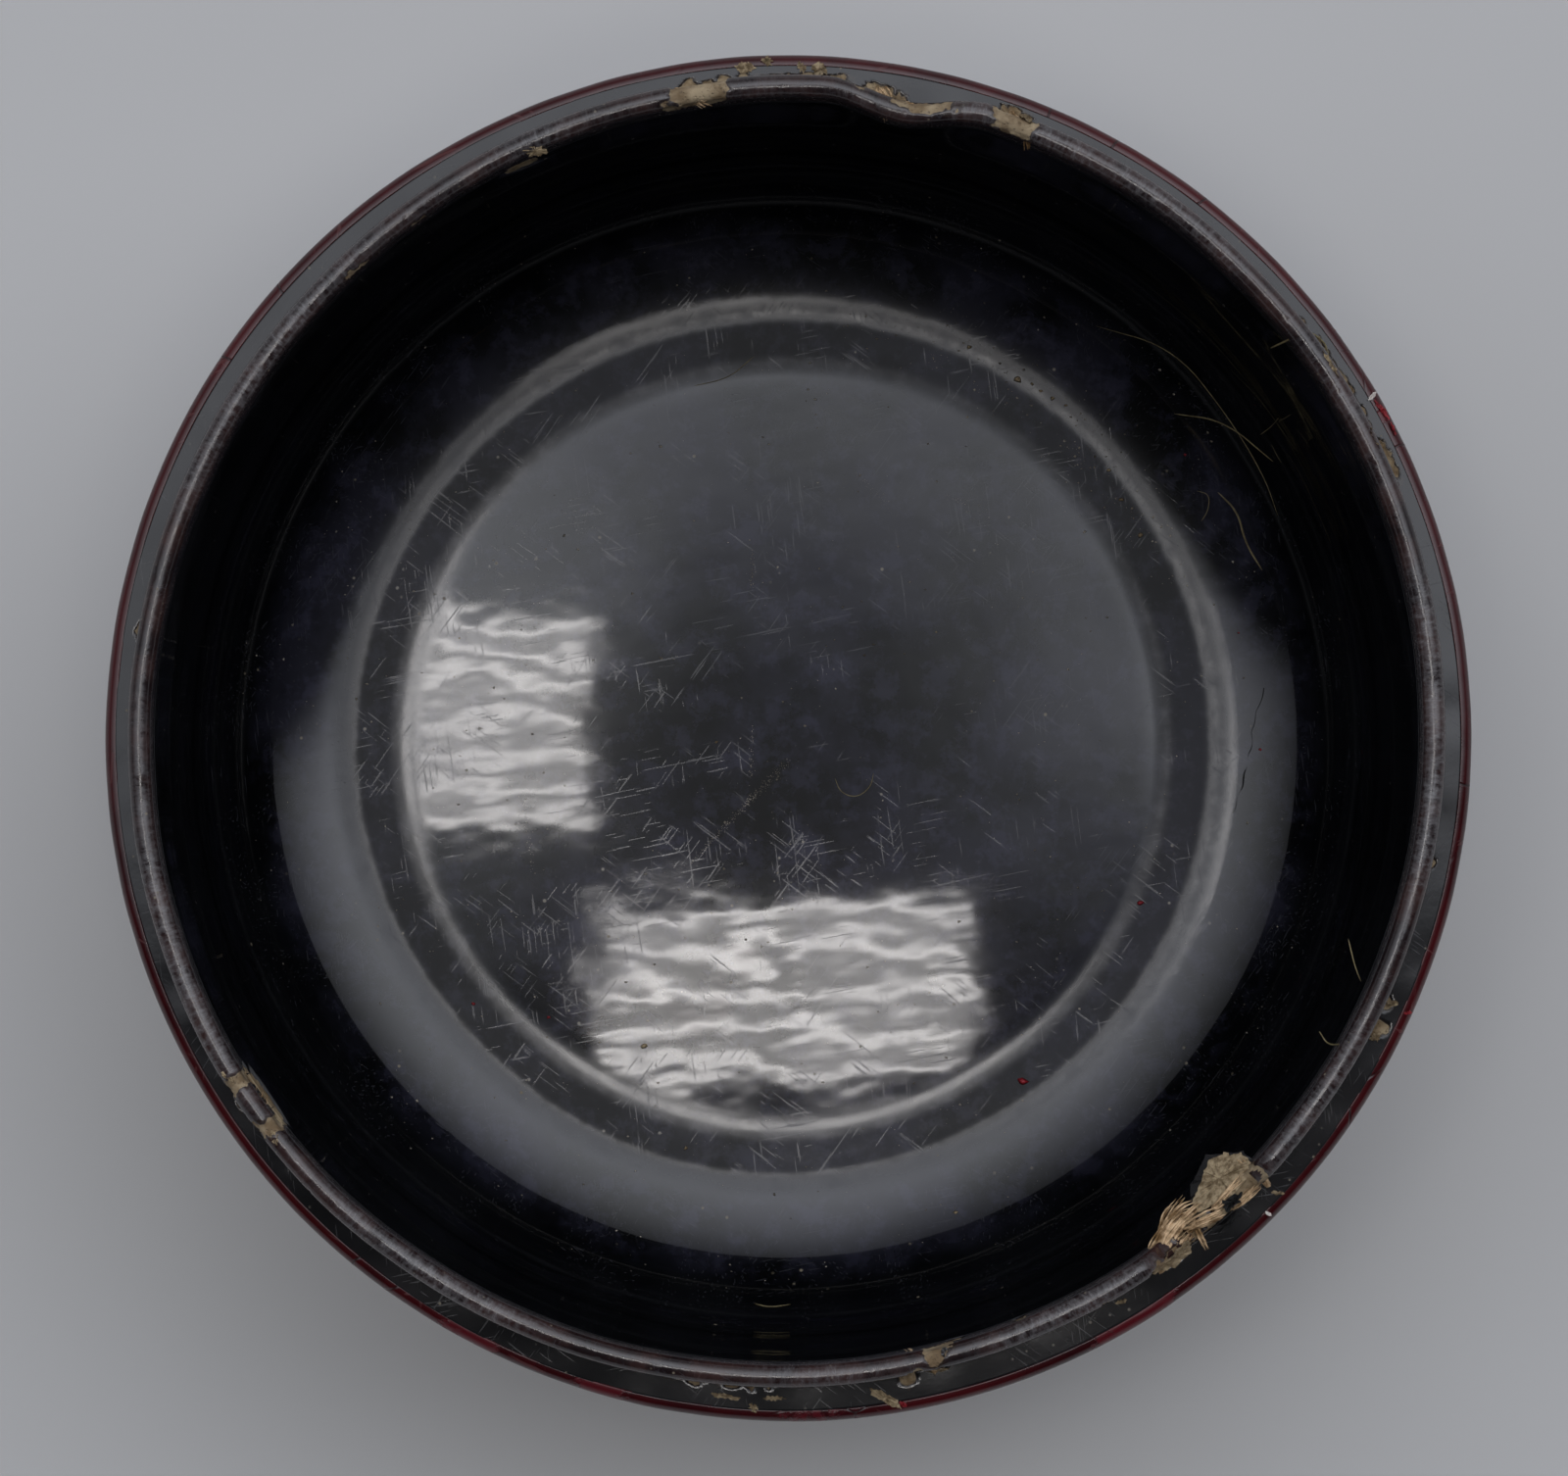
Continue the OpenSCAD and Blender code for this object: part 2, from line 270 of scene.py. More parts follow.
damageList = [
    # angle, half width along the lip, t, half width across, slant
    (25.2, 2.4, 6.3, 0.42, 0.0), (32.6, 6.6, 5.9, 0.5, 0.0), (36.6, 1.8, 5.6, 0.8, 0.0),
    (69.8, 2.6, 2.4, 4.4, 0.1), (73.5, 2.2, 4.6, 1.4, 0.0), (78.0, 3.4, 1.0, 1.2, 0.1),
    (81.5, 2.6, 5.4, 1.1, 0.0), (84.5, 1.6, 2.0, 1.0, 0.3), (88.5, 5.4, 5.9, 0.6, 0.0),
    (98.0, 3.0, 1.6, 4.8, 0.15), (100.5, 1.2, -2.2, 1.4, 0.4), (95.6, 0.9, 5.6, 1.0, 0.0),
    (115.0, 2.1, -8.4, 2.9, 0.5), (125.6, 1.0, -2.2, 0.9, 0.0), (132.4, 1.9, -1.6, 0.7, 0.1),
    (142.0, 0.6, 1.6, 0.4, 0.0), (155.0, 0.5, 5.6, 0.4, 0.0), (171.0, 0.7, 5.8, 0.3, 0.0),
    (214.5, 3.9, -3.4, 9.0, 0.0),
    (261.0, 1.8, 5.2, 0.7, 0.0), (265.0, 1.8, 5.4, 0.6, 0.1), (268.0, 1.0, 5.0, 0.7, 0.0),
    (281.0, 1.7, 3.6, 2.6, -0.5), (283.6, 1.7, -1.6, 2.4, -0.5), (285.5, 0.8, -4.6, 1.6, 0.0),
    (291.8, 0.8, -4.0, 2.0, 0.0), (299.6, 0.6, 2.0, 0.8, 0.0),
    (306.2, 3.0, 3.0, 3.0, 0.0), (311.2, 4.6, -1.6, 6.6, 0.1), (315.4, 2.4, -0.6, 4.4, 0.2),
    (333.4, 1.2, 5.8, 0.9, 0.3), (336.4, 1.0, 5.6, 0.7, -0.3), (349.0, 0.5, 5.9, 0.4, 0.0),
]
islandList = [(214.5, 2.0, -1.6, 4.2, 0.0)]  # finish that is left in the middle of a chip


def blob(a, t, centre, halfRound, acrossAt, halfAcross, slant):
    # distance inside a ragged rounded patch, in millimetres, below 0 outside
    gap = (np.degrees(a) - centre + 180) % 360 - 180
    along = gap * math.radians(1) * lipR
    across = t - acrossAt - slant * along
    power = 2.6
    size = (np.abs(along / halfRound) ** power + np.abs(across / halfAcross) ** power) ** (1 / power)
    return (1 - size) * min(halfRound, halfAcross)


def damage(a, t):  # deepest of all patches, with a ragged edge, less the islands of finish
    x, y = lipPlaces(a)[:2]
    ragged = 0.24 * waves(x, y, t, 1.5, 51) + 0.12 * waves(x, y, t, 0.7, 52)
    inside = np.full(np.shape(a), -9.0)
    for patch in damageList:
        inside = np.maximum(inside, blob(a, t, *patch))
    for patch in islandList:
        inside = np.minimum(inside, -blob(a, t, *patch))
    near = ease(-1.2, 0.0, inside)
    return inside + ragged * near


def sinkDepth(chip):  # how far the finish is gone, almost through its coat
    return 0.88 * lacquer * ease(0.0, 0.22, chip)


print("sizes read: body", round(bodyR * 2, 1), "mm wide,", round(lipZ, 1), "mm high")


# inner wall and floor
def floorLine(radius):  # height of the floor: its slope summed from the outside inwards
    knots = np.array(bowlShape["floorSlopes"])
    fine = np.linspace(0, knots[-1, 0], 4001)
    slope = np.interp(fine, knots[:, 0], knots[:, 1])
    height = np.concatenate([[0], np.cumsum((slope[1:] + slope[:-1]) / 2 * np.diff(fine))])
    return np.interp(radius, fine, height - height[-1]) + floorZ + cornerRise(knots[-1, 0])


def cornerRise(radius):  # how far the corner's arc has risen above the floor
    rounding = bowlShape["cornerRadius"]
    return rounding - math.sqrt(rounding ** 2 - (radius - cornerX) ** 2)


def innerFront(depth, rings):  # run of the inside from the axis to the ledge's height
    join = bowlShape["floorSlopes"][-1][0]
    crown = np.linspace(0, 41.0, rings[0], endpoint=False)
    edge = np.linspace(41.0, join, rings[1], endpoint=False)
    flat = np.concatenate([crown, edge])
    startAngle = -90 + math.degrees(math.asin((join - cornerX) / bowlShape["cornerRadius"]))
    parts = [
        np.stack([flat, floorLine(flat)], 1),
        arc(cornerX, cornerZ, bowlShape["cornerRadius"], startAngle, 0, rings[2]),
        line((boreR, cornerZ), (boreR, ledgeZ), rings[3]),
        [[boreR, ledgeZ]],
    ]
    run = np.concatenate(parts)
    if depth:
        away = np.gradient(run, axis=0)
        away /= np.linalg.norm(away, axis=1)[:, None]
        run = run + depth * np.stack([away[:, 1], -away[:, 0]], 1)
        run[0, 0] = 0
        run[-1] = boreR + depth, ledgeZ
    return run


def plainBack(depth, top):  # run back from a height on the wall down to the axis, at a depth
    radius = bowlShape["cornerRadius"] + depth
    return np.concatenate([
        line((boreR + depth, top), (boreR + depth, cornerZ), 6),
        arc(cornerX, cornerZ, radius, 0, -90, 14),
        line((cornerX, floorZ - depth), (0, floorZ - depth), 4),
        [[0, floorZ - depth]],
    ])


floorDustAndSheen = {
    # dust, and painted sheen that lightens the groove, the crease and the plateau's edge: amount, radius
    # where it starts, is full, starts to fade, and ends
    "dustSheenBands": [(0.24, 39, 44, 49, 52), (0.56, 46.9, 48.2, 49, 51.5), (0.3, 40.3, 41.6, 43.0, 44.4)],
    "lowFull": 0.6,  # the floor's mottled tint is full to this height above it, and ends at the next
    "lowEnd": 5.5,
}


def innerFields(r, a, z, profile):  # chips on the wall, and on the floor a sum of bands of dust and painted sheen
    front = np.zeros(r.shape, bool)
    front[:frontRows] = True
    onWall = front & (z > ledgeZ - handWork["chipDepth"])
    chip = np.where(onWall, damage(a, -(lipFoot + ledgeZ - z)), -9.0)
    film = sum(amount * ease(start, full, r) * (1 - ease(fade, end, r))
               for amount, start, full, fade, end in floorDustAndSheen["dustSheenBands"])
    low = 1 - ease(floorZ + floorDustAndSheen["lowFull"], floorZ + floorDustAndSheen["lowEnd"], z)
    return {"chip": chip, "sink": sinkDepth(chip),
            "film": np.where(front, film, 0), "low": np.where(front, low, 0)}


innerRun = innerFront(0, (44, 52, 40, 40))
frontRows = len(innerRun)
innerBack = innerFront(lacquer, (10, 12, 12, 8))[::-1]
innerFinish = turnedPiece("innerFinish", np.concatenate([innerRun, innerBack]), 448,
                          ["inner_lacquer"], warpWall, True, innerFields)
groundRun = innerFront(lacquer, (10, 12, 12, 8))
innerGround = turnedPiece("innerGroundCoat", np.concatenate([groundRun, plainBack(lacquer + ground, ledgeZ)]),
                          192, ["inner_ground"], warpWall, True)
clothRun = plainBack(lacquer + ground, seatZ)[::-1]
innerCloth = turnedPiece("innerClothLayer",
                         np.concatenate([clothRun, plainBack(lacquer + ground + cloth, seatZ)]),
                         192, ["inner_cloth"], warpWall, True)
print("inner layers made:", len(innerFinish.data.polygons), "faces in the finish")


# lip
def lipRun(depth, base, counts):  # over the lip from the inner side to the outer, at a depth
    inner, outer = boreR + depth, lipR - depth
    middle = (inner + outer) / 2
    return np.concatenate([
        line((inner, base[0]), (inner, lipMidZ), counts[0]),
        arc(middle, lipMidZ, lipRound - depth, 180, 0, counts[1]),
        line((outer, lipMidZ), (outer, base[1]), counts[2]),
        [[outer, base[1]]],
    ])


def crestWay(profile):  # t for each point of the lip's front
    r, z = profile[:, 0], profile[:, 1]
    middle = (boreR + lipR) / 2
    angle = np.arctan2(r - middle, np.maximum(z - lipMidZ, 0) + 1e-6)
    side = np.maximum(lipMidZ - z, 0)
    return np.sign(r - middle) * (np.abs(angle) * lipRound + side)


def lipFields(r, a, z, profile):  # chips over the lip, and small pits where slow waves are high
    t = np.repeat(crestWay(profile)[:, None], r.shape[1], 1)
    chip = damage(a, t)
    chip[lipRows:] = -9
    pits = np.clip(waves(r * np.cos(a), r * np.sin(a), z, 1.1, 61) - 1.1, 0, 1) * 0.06
    return {"chip": chip, "sink": sinkDepth(chip) + pits * (np.arange(len(r)) < lipRows)[:, None]}


lipFront = lipRun(0, (ledgeZ, ledgeZ - lacquer), (12, 24, 12))
lipRows = len(lipFront)
lipBack = lipRun(lacquer, (ledgeZ, ledgeZ - lacquer), (3, 8, 3))[::-1]
lipFinish = turnedPiece("lipFinish", np.concatenate([lipFront, lipBack]), 1440,
                        ["lip_lacquer"], warpLip, False, lipFields)
groundFront = lipRun(lacquer, (ledgeZ, ledgeZ - lacquer), (3, 8, 3))
groundBack = lipRun(lacquer + ground, (ledgeZ, ledgeZ - lacquer), (3, 8, 3))[::-1]
lipGround = turnedPiece("lipGroundCoat", np.concatenate([groundFront, groundBack]), 480,
                        ["lip_ground"], warpLip)
clothR = span("lip_cloth")[1][0]
woodR = span("lip_hoop")[1][0]
clothTop = span("lip_cloth")[1][2]
clothLow = ledgeZ - lacquer - ground - cloth
strip = lines([(woodR, clothLow), (woodR, clothTop), (clothR, clothTop - 0.5), (clothR, clothLow),
               (woodR, clothLow)], (8, 2, 8, 2))
lipCloth = turnedPiece("lipClothStrip", strip, 360, ["lip_cloth"], warpLip)
inset = lacquer + ground
hoopTopR = (woodR - boreR - inset) / 2
hoopRun = np.concatenate([
    line((boreR + inset, seatZ), (boreR + inset, lipMidZ), 10),
    arc(boreR + inset + hoopTopR, lipMidZ, hoopTopR, 180, 0, 8),
    lines([(woodR, lipMidZ), (woodR, seatZ), (boreR + inset, seatZ)], (10, 3)),
])
lipHoop = turnedPiece("lipHoopWood", hoopRun, 480, ["lip_hoop"], warpLip)
print("lip made:", len(lipFinish.data.polygons), "faces in its finish")


# ledge
def ledgeFields(r, a, z, profile):  # chips on the ledge's upper face
    chip = damage(a, lipFoot + (r - lipR))
    chip[ledgeRows:] = -9
    return {"chip": chip, "sink": sinkDepth(chip)}


ledgeFront = np.concatenate([line((lipR, ledgeZ), (bodyR - edgeR, ledgeZ), 16), [[bodyR - edgeR, ledgeZ]]])
ledgeRows = len(ledgeFront)
ledgeBack = np.concatenate([line((bodyR - edgeR, ledgeZ - lacquer), (lipR, ledgeZ - lacquer), 4),
                            [[lipR, ledgeZ - lacquer]]])
ledgeFinish = turnedPiece("ledgeFinish", np.concatenate([ledgeFront, ledgeBack]), 1440,
                          ["ledge_lacquer"], warpLedge, False, ledgeFields)


# outer wall, foot and base
wearList = [
    # angle, half width in degrees, strength
    (242, 6.0, 0.75), (254, 7.0, 0.7), (301, 9.5, 0.8), (28.5, 2.0, 0.7), (120, 2.5, 0.4), (272, 9.0, 0.6),
]


def outerFields(r, a, z, profile):  # rubbed patches along the upper edge, and round the foot
    degrees = np.degrees(a)
    edge = ease(ledgeZ - 3.0, ledgeZ - 0.8, z)
    rub = sum(strength * bump(centre, half, degrees) for centre, half, strength in wearList) * edge
    low = 0.8 * (1 - ease(recessZ - 3.5, recessZ + 1, z))
    x, y = r * np.cos(a), r * np.sin(a)
    speckle = waves(x, y, z, 6, 71)
    return {"rub": np.clip(rub + low * (0.5 + 0.5 * speckle), 0, 1)}


outerCorner = bowlShape["cornerRadius"] + wallT
footJoin = cornerZ - math.sqrt(outerCorner ** 2 - (footR - cornerX) ** 2)
outerFront = np.concatenate([
    arc(bodyR - edgeR, ledgeZ - edgeR, edgeR, 90, 0, 14),
    line((bodyR, ledgeZ - edgeR), (bodyR, cornerZ), 40),
    arc(cornerX, cornerZ, outerCorner, 0, -84, 34),
    arc(footR + 0.9, footJoin - 0.75, 0.9, 100, 180, 6),
    line((footR, footJoin - 0.8), (footR, lacquer), 6),
    [[footR, lacquer]],
])
back = footR - lacquer
outerBack = np.concatenate([
    line((back, lacquer), (back, footJoin), 3),
    arc(cornerX, cornerZ, outerCorner - lacquer, -86, 0, 16),
    line((bodyR - lacquer, cornerZ), (bodyR - lacquer, ledgeZ - edgeR), 6),
    arc(bodyR - edgeR, ledgeZ - edgeR, edgeR - lacquer, 0, 90, 5),
    [[bodyR - edgeR, ledgeZ - lacquer]],
])
outerFinish = turnedPiece("outerFinish", np.concatenate([outerFront, outerBack]), 600,
                          ["outer_lacquer"], warpBody, False, outerFields)


def footFields(r, a, z, profile):  # rubbed where the foot stands, most along its two edges
    x, y = r * np.cos(a), r * np.sin(a)
    middle = (footR + footInR) / 2
    low = 1 - ease(0.1, 0.9, z)
    edge = ease(1.2, 2.4, np.abs(r - middle))
    rub = low * (0.35 + 0.5 * edge) + 0.35 * waves(x, y, 0 * x, 5, 81) * low
    return {"rub": np.clip(rub, 0, 1)}


footRun = np.concatenate([
    line((footR, lacquer), (footR - 0.1, 0.1), 3),
    arc(footR - 0.35, 0.25, 0.25, -20, -90, 5),
    line((footR - 0.35, 0), (footInR + 0.35, 0), 22),
    arc(footInR + 0.35, 0.35, 0.35, -90, -180, 6),
    lines([(footInR, 0.35), (footInR, recessZ), (footInR + lacquer, recessZ), (footInR + lacquer, lacquer),
           (footR, lacquer)], (16, 2, 5, 8)),
])
footFinish = turnedPiece("footFinish", footRun, 720, ["foot_lacquer"], None, False,
                         footFields)


def warpBase(r, a, z):  # the board under the base has moved a little
    x, y = r * np.cos(a), r * np.sin(a)
    uneven = 0.05 * waves(x, y, 0 * x, 22, 91) + 0.02 * waves(x, y, 0 * x, 5, 92)
    return r, z + uneven * (z <= recessZ + 0.01)


baseRun = np.concatenate([
    lines([(0, recessZ + lacquer), (footInR, recessZ + lacquer), (footInR + lacquer, recessZ + lacquer / 2),
           (footInR, recessZ), (0, recessZ)], (10, 2, 2, 90)),
    [[0, recessZ]],
])
baseFinish = turnedPiece("baseFinish", baseRun, 360, ["base_lacquer"], warpBase, True)
print("outer wall, foot and base made")


# loose and torn bits: strands, flakes and specks
def polar(degrees, radius, height):  # places given by angle, radius and height
    t = np.radians(degrees)
    return np.stack([radius * np.cos(t), radius * np.sin(t), height + 0 * t], -1)


def insideHeight(radius):  # height of the inner surface: floor, then the corner's arc
    out = np.clip(radius - cornerX, 0, bowlShape["cornerRadius"])
    onArc = cornerZ - np.sqrt(bowlShape["cornerRadius"] ** 2 - out ** 2)
    return np.where(radius < bowlShape["floorSlopes"][-1][0], floorLine(radius), onArc)


def onInside(flat, lift=0):  # places x, y laid on the inner surface, at a lift above it
    return np.column_stack([flat, insideHeight(np.hypot(*flat.T)) + lift])


def topHeight(radius, degrees):  # height of the lip or the ledge under a place
    a = np.radians(degrees)
    way = (radius - lipShift(a) - (boreR + lipR) / 2) / lipRound
    onLip = lipMidZ + lipRound * np.sqrt(np.clip(1 - way ** 2, 0, 1))
    onLedge = ledgeZ - (radius - lipR) * handWork["ledgeSlope"]
    return np.where(way < 1, ledgeZ + (onLip - ledgeZ) * (1 - lipDrop(a)), onLedge)


def smoothPath(corners, count):  # corners cut off four times, then spaced evenly
    path = np.asarray(corners, float)
    for _ in range(4):
        near, far = path[:-1] * 0.75 + path[1:] * 0.25, path[:-1] * 0.25 + path[1:] * 0.75
        path = np.concatenate([path[:1], np.stack([near, far], 1).reshape(-1, path.shape[1]), path[-1:]])
    way = np.concatenate([[0], np.cumsum(np.linalg.norm(np.diff(path, axis=0), axis=1))])
    even = np.linspace(0, way[-1], count)
    return np.stack([np.interp(even, way, column) for column in path.T], 1)


def addStrands(name, paths, radii, sides=6, flat=1.0):
    # round or flattened strands along paths (n, m, 3), with radii (n, m), closed at both ends
    paths, radii = np.asarray(paths, float), np.asarray(radii, float)
    count, steps = radii.shape
    along = np.gradient(paths, axis=1)
    along /= np.linalg.norm(along, axis=2)[..., None] + 1e-9
    across = np.cross(along, np.array([0.02, 0.03, 1.0]))
    across /= np.linalg.norm(across, axis=2)[..., None] + 1e-9
    up = np.cross(across, along)
    t = np.linspace(0, turn, sides, endpoint=False)
    ring = (np.cos(t)[:, None] * across[:, :, None] + flat * np.sin(t)[:, None] * up[:, :, None])
    points = paths[:, :, None] + radii[:, :, None, None] * ring
    index = np.arange(count * steps * sides).reshape(count, steps, sides)
    a, b = index[:, :-1], index[:, 1:]
    quads = np.stack([a, np.roll(a, -1, 2), np.roll(b, -1, 2), b], -1).reshape(-1, 4)
    return addPiece(name, points.reshape(-1, 3), [quads, index[:, 0, ::-1], index[:, -1]])


def addPlates(name, outlines, thickness, seed, ragged=0.05):
    # thin plates: each outline (k, 3) is split finely, made ragged and given an uneven middle
    rng = np.random.default_rng(seed)
    points, faces, start = [], [], 0
    for outline in outlines:
        rim = np.asarray(outline, float)
        share = np.linspace(0, 1, 7, endpoint=False)[None, :, None]
        rim = (rim[:, None] * (1 - share) + np.roll(rim, -1, 0)[:, None] * share).reshape(-1, 3)
        rim = rim + rng.normal(size=rim.shape) * ragged * (1, 1, 0.4)
        middle = rim.mean(0)
        inner = middle + (rim - middle) * 0.5 + rng.normal(size=rim.shape) * (0, 0, ragged)
        down = np.array([0, 0, thickness])
        k = len(rim)
        points.append(np.concatenate([rim, inner, rim - down, [middle, middle - down]]))
        i, j = np.arange(k), np.roll(np.arange(k), -1)
        top, low = start + 3 * k, start + 3 * k + 1
        faces.append(np.stack([start + i, start + j, start + k + j], 1))
        faces.append(np.stack([start + i, start + k + j, start + k + i], 1))
        faces.append(np.stack([start + k + i, start + k + j, np.full(k, top)], 1))
        faces.append(np.stack([start + 2 * k + j, start + 2 * k + i, np.full(k, low)], 1))
        faces.append(np.stack([start + j, start + i, start + 2 * k + i], 1))
        faces.append(np.stack([start + j, start + 2 * k + i, start + 2 * k + j], 1))
        start += 3 * k + 2
    return addPiece(name, np.concatenate(points), [np.concatenate(faces)], smooth=False)


def addSpecks(name, centres, sizes, seed, height=0.4):
    # low irregular domes of seven sides, one at each centre (n, 3)
    rng = np.random.default_rng(seed)
    count, sides = len(centres), 7
    t = np.linspace(0, turn, sides, endpoint=False) + rng.uniform(0, turn, (count, 1))
    reach = sizes[:, None] * rng.uniform(0.6, 1.3, (count, sides))
    stretch = rng.uniform(0.5, 1.0, (count, 1))
    ring = np.stack([reach * np.cos(t), reach * np.sin(t) * stretch, 0 * t - 0.02], -1)
    top = np.stack([0 * sizes, 0 * sizes, sizes * height], -1)[:, None]
    low = np.stack([0 * sizes, 0 * sizes, 0 * sizes - 0.04], -1)[:, None]
    points = centres[:, None] + np.concatenate([ring, top, low], 1)
    base = np.arange(count)[:, None] * (sides + 2)
    i = np.broadcast_to(np.arange(sides), (count, sides)) + base
    j = np.roll(i, -1, 1)
    up = np.stack([i, j, np.broadcast_to(base + sides, i.shape)], -1)
    down = np.stack([j, i, np.broadcast_to(base + sides + 1, i.shape)], -1)
    return addPiece(name, points.reshape(-1, 3), [up.reshape(-1, 3), down.reshape(-1, 3)])


fibreShape = {
    "steps": 14,
    "reach": (0.55, 1.08),  # shortest and longest, as a share of the bundle's length
    "thick": (0.5, 1.4),  # thinnest and thickest, as a share of the stated radius
    "thinning": 0.8,  # how much of its thickness a fibre loses towards its end
    "kink": 0.02,
    "topGap": 0.2,  # fibres end this far below the lip's top
}


def bundle(start, end, bend, count, spread, radius, seed):
    # fibres from start to end, each a bent line with its own ends; places are angle, radius, height
    rng = np.random.default_rng(seed)
    first, last = polar(*map(np.float64, start)), polar(*map(np.float64, end))
    share = np.linspace(0, 1, fibreShape["steps"])
    s = share[None, :, None]
    jitter = rng.normal(size=(3, count, 1, 3)) * np.array([1, 1, 0.6]) * spread
    reach = rng.uniform(*fibreShape["reach"], (count, 1, 1))
    bow = np.asarray(bend, float) + jitter[1]
    path = first + jitter[0] * 0.8 + (last - first + jitter[2]) * s * reach + bow * (4 * s * (1 - s)) * 0.5
    path = path + rng.normal(size=path.shape) * fibreShape["kink"]
    path[..., 2] = np.minimum(path[..., 2], lipZ - fibreShape["topGap"])
    thin = 1.0 - fibreShape["thinning"] * share[None] ** 3
    return path, radius * rng.uniform(*fibreShape["thick"], (count, 1)) * thin


bundleList = [
    # start, end, bend, count, spread, radius
    ((304.8, 66.2, 77.9), (309.6, 64.9, 79.4), (0.4, 0.7, 0.3), 26, 0.28, 0.10),
    ((305.8, 64.6, 78.9), (311.2, 63.4, 78.2), (-0.6, 0.9, 0.4), 60, 0.42, 0.15),
    ((306.4, 63.8, 78.0), (310.4, 62.4, 76.8), (-0.3, 0.7, 0.2), 46, 0.38, 0.13),
    ((310.0, 64.2, 79.0), (309.3, 67.5, 79.3), (0.0, 0.0, 0.5), 9, 0.13, 0.11),
    ((309.2, 64.6, 79.3), (312.4, 65.6, 79.6), (0.2, 0.2, 0.4), 26, 0.26, 0.11),
    ((316.9, 66.9, 78.0), (316.9, 63.0, 78.4), (0.2, 0.0, 0.7), 18, 0.17, 0.13),
    ((313.2, 66.0, 78.2), (316.4, 66.2, 79.3), (0.1, 0.1, 0.5), 22, 0.20, 0.10),
    ((312.0, 64.6, 79.1), (315.8, 64.3, 79.5), (0.1, 0.2, 0.3), 20, 0.20, 0.09),
    ((70.3, 67.6, 77.5), (68.0, 65.3, 79.8), (0.2, 0.3, 0.5), 46, 0.28, 0.11),
    ((81.9, 66.6, 78.8), (80.9, 64.0, 79.6), (0.2, 0.0, 0.3), 34, 0.36, 0.09),
    ((79.2, 65.6, 79.9), (80.6, 64.3, 79.8), (0.1, 0.1, 0.2), 18, 0.26, 0.08),
    ((283.0, 66.3, 78.0), (280.9, 63.8, 78.6), (0.2, 0.1, 0.6), 26, 0.20, 0.09),
    ((215.4, 66.6, 78.4), (213.2, 64.2, 79.4), (0.2, 0.1, 0.4), 14, 0.24, 0.07),
    ((99.8, 66.6, 78.6), (97.2, 65.1, 81.2), (0.2, 0.2, 0.3), 20, 0.35, 0.07),
]
bundles = [bundle(*row, 300 + number) for number, row in enumerate(bundleList)]
woodFibres = addStrands("tornFibres", np.concatenate([b[0] for b in bundles]),
                        np.concatenate([b[1] for b in bundles]), 5, 0.7)

# the flap of wall that is torn inwards at the break: ground above, lacquer below
flapRim = [(310.8, 64.0, 79.0), (313.8, 65.0, 79.7), (317.2, 64.7, 79.4), (317.5, 63.0, 78.4),
           (316.4, 61.6, 77.3), (314.9, 61.0, 76.5), (312.8, 61.9, 77.2), (310.9, 62.8, 77.9)]
underRim = [(310.2, 63.4, 78.1), (314.4, 64.6, 79.0), (317.7, 64.3, 78.6), (317.6, 62.8, 77.6),
            (315.0, 60.5, 75.6), (312.0, 61.5, 76.3)]
# dark plates laid in the gaps at the break: painted shade in the holes
voidShadowRims = [[(312.9, 64.7, 80.3), (314.9, 65.3, 80.3), (314.2, 66.0, 80.3), (312.6, 65.8, 80.3)],
            [(310.6, 66.4, 79.6), (313.6, 66.5, 79.6), (313.2, 67.1, 79.2), (311.0, 67.0, 79.2)]]
leftFlake = [(304.0, 66.0, 78.4), (306.0, 66.9, 78.5), (308.2, 66.5, 79.2), (308.6, 65.2, 80.9),
             (306.4, 65.6, 80.4)]


def onTop(corners, lift):  # an outline of (angle, radius) laid on the lip or the ledge
    degrees, radius = np.array(corners, float).T
    return polar(degrees, radius, np.minimum(topHeight(radius, degrees) + lift, lipZ - 0.15))


def leaf(degrees, radius, long, wide, tilt):  # six corners of a pointed flake, in angle and radius
    t = np.radians(tilt)
    along = np.array([-0.5, -0.22, 0.2, 0.5, 0.24, -0.18]) * long
    across = np.array([0.0, 0.5, 0.42, 0.0, -0.5, -0.45]) * wide
    tangent, outward = along * np.cos(t) - across * np.sin(t), along * np.sin(t) + across * np.cos(t)
    return np.stack([degrees + np.degrees(tangent / radius), radius + outward], 1)


def leaves(lift, rows):  # pointed flakes laid at a lift above the lip or the ledge
    return [onTop(leaf(*row), lift) for row in rows]


# angle, radius, length, width, tilt from the tangent
groundLeaves = [
    (87.3, 68.3, 2.0, 1.5, 80), (88.9, 68.6, 1.3, 0.7, 70), (91.8, 69.3, 1.2, 0.8, 30),
    (93.7, 68.7, 2.1, 1.2, 10), (267.0, 68.6, 1.1, 0.7, 60), (278.3, 68.2, 4.1, 0.95, 40),
    (332.9, 67.4, 1.3, 0.7, 50), (336.2, 67.5, 1.2, 0.6, 65), (317.0, 68.3, 1.2, 0.3, 55),
    (264.5, 67.6, 3.2, 0.45, 4), (268.8, 67.5, 2.2, 0.35, 3), (283.2, 66.3, 2.6, 0.8, 8),
    (113.4, 64.9, 2.6, 0.9, 25), (27.0, 67.0, 2.2, 0.5, 5), (34.6, 66.9, 3.0, 0.45, 3),
    (69.0, 67.6, 1.6, 0.9, 30), (218.0, 66.2, 1.6, 0.8, 20), (211.2, 66.6, 1.5, 0.6, 160),
    (300.5, 66.9, 1.2, 0.3, 12),
]
blackLeaves = [(292.0, 65.2, 1.6, 2.4, 5), (284.4, 64.7, 1.8, 1.2, 70)]
redLeaves = [(28.9, 69.4, 2.6, 0.45, -8), (27.0, 69.5, 1.6, 0.25, 6), (336.0, 69.3, 0.9, 0.3, 60)]
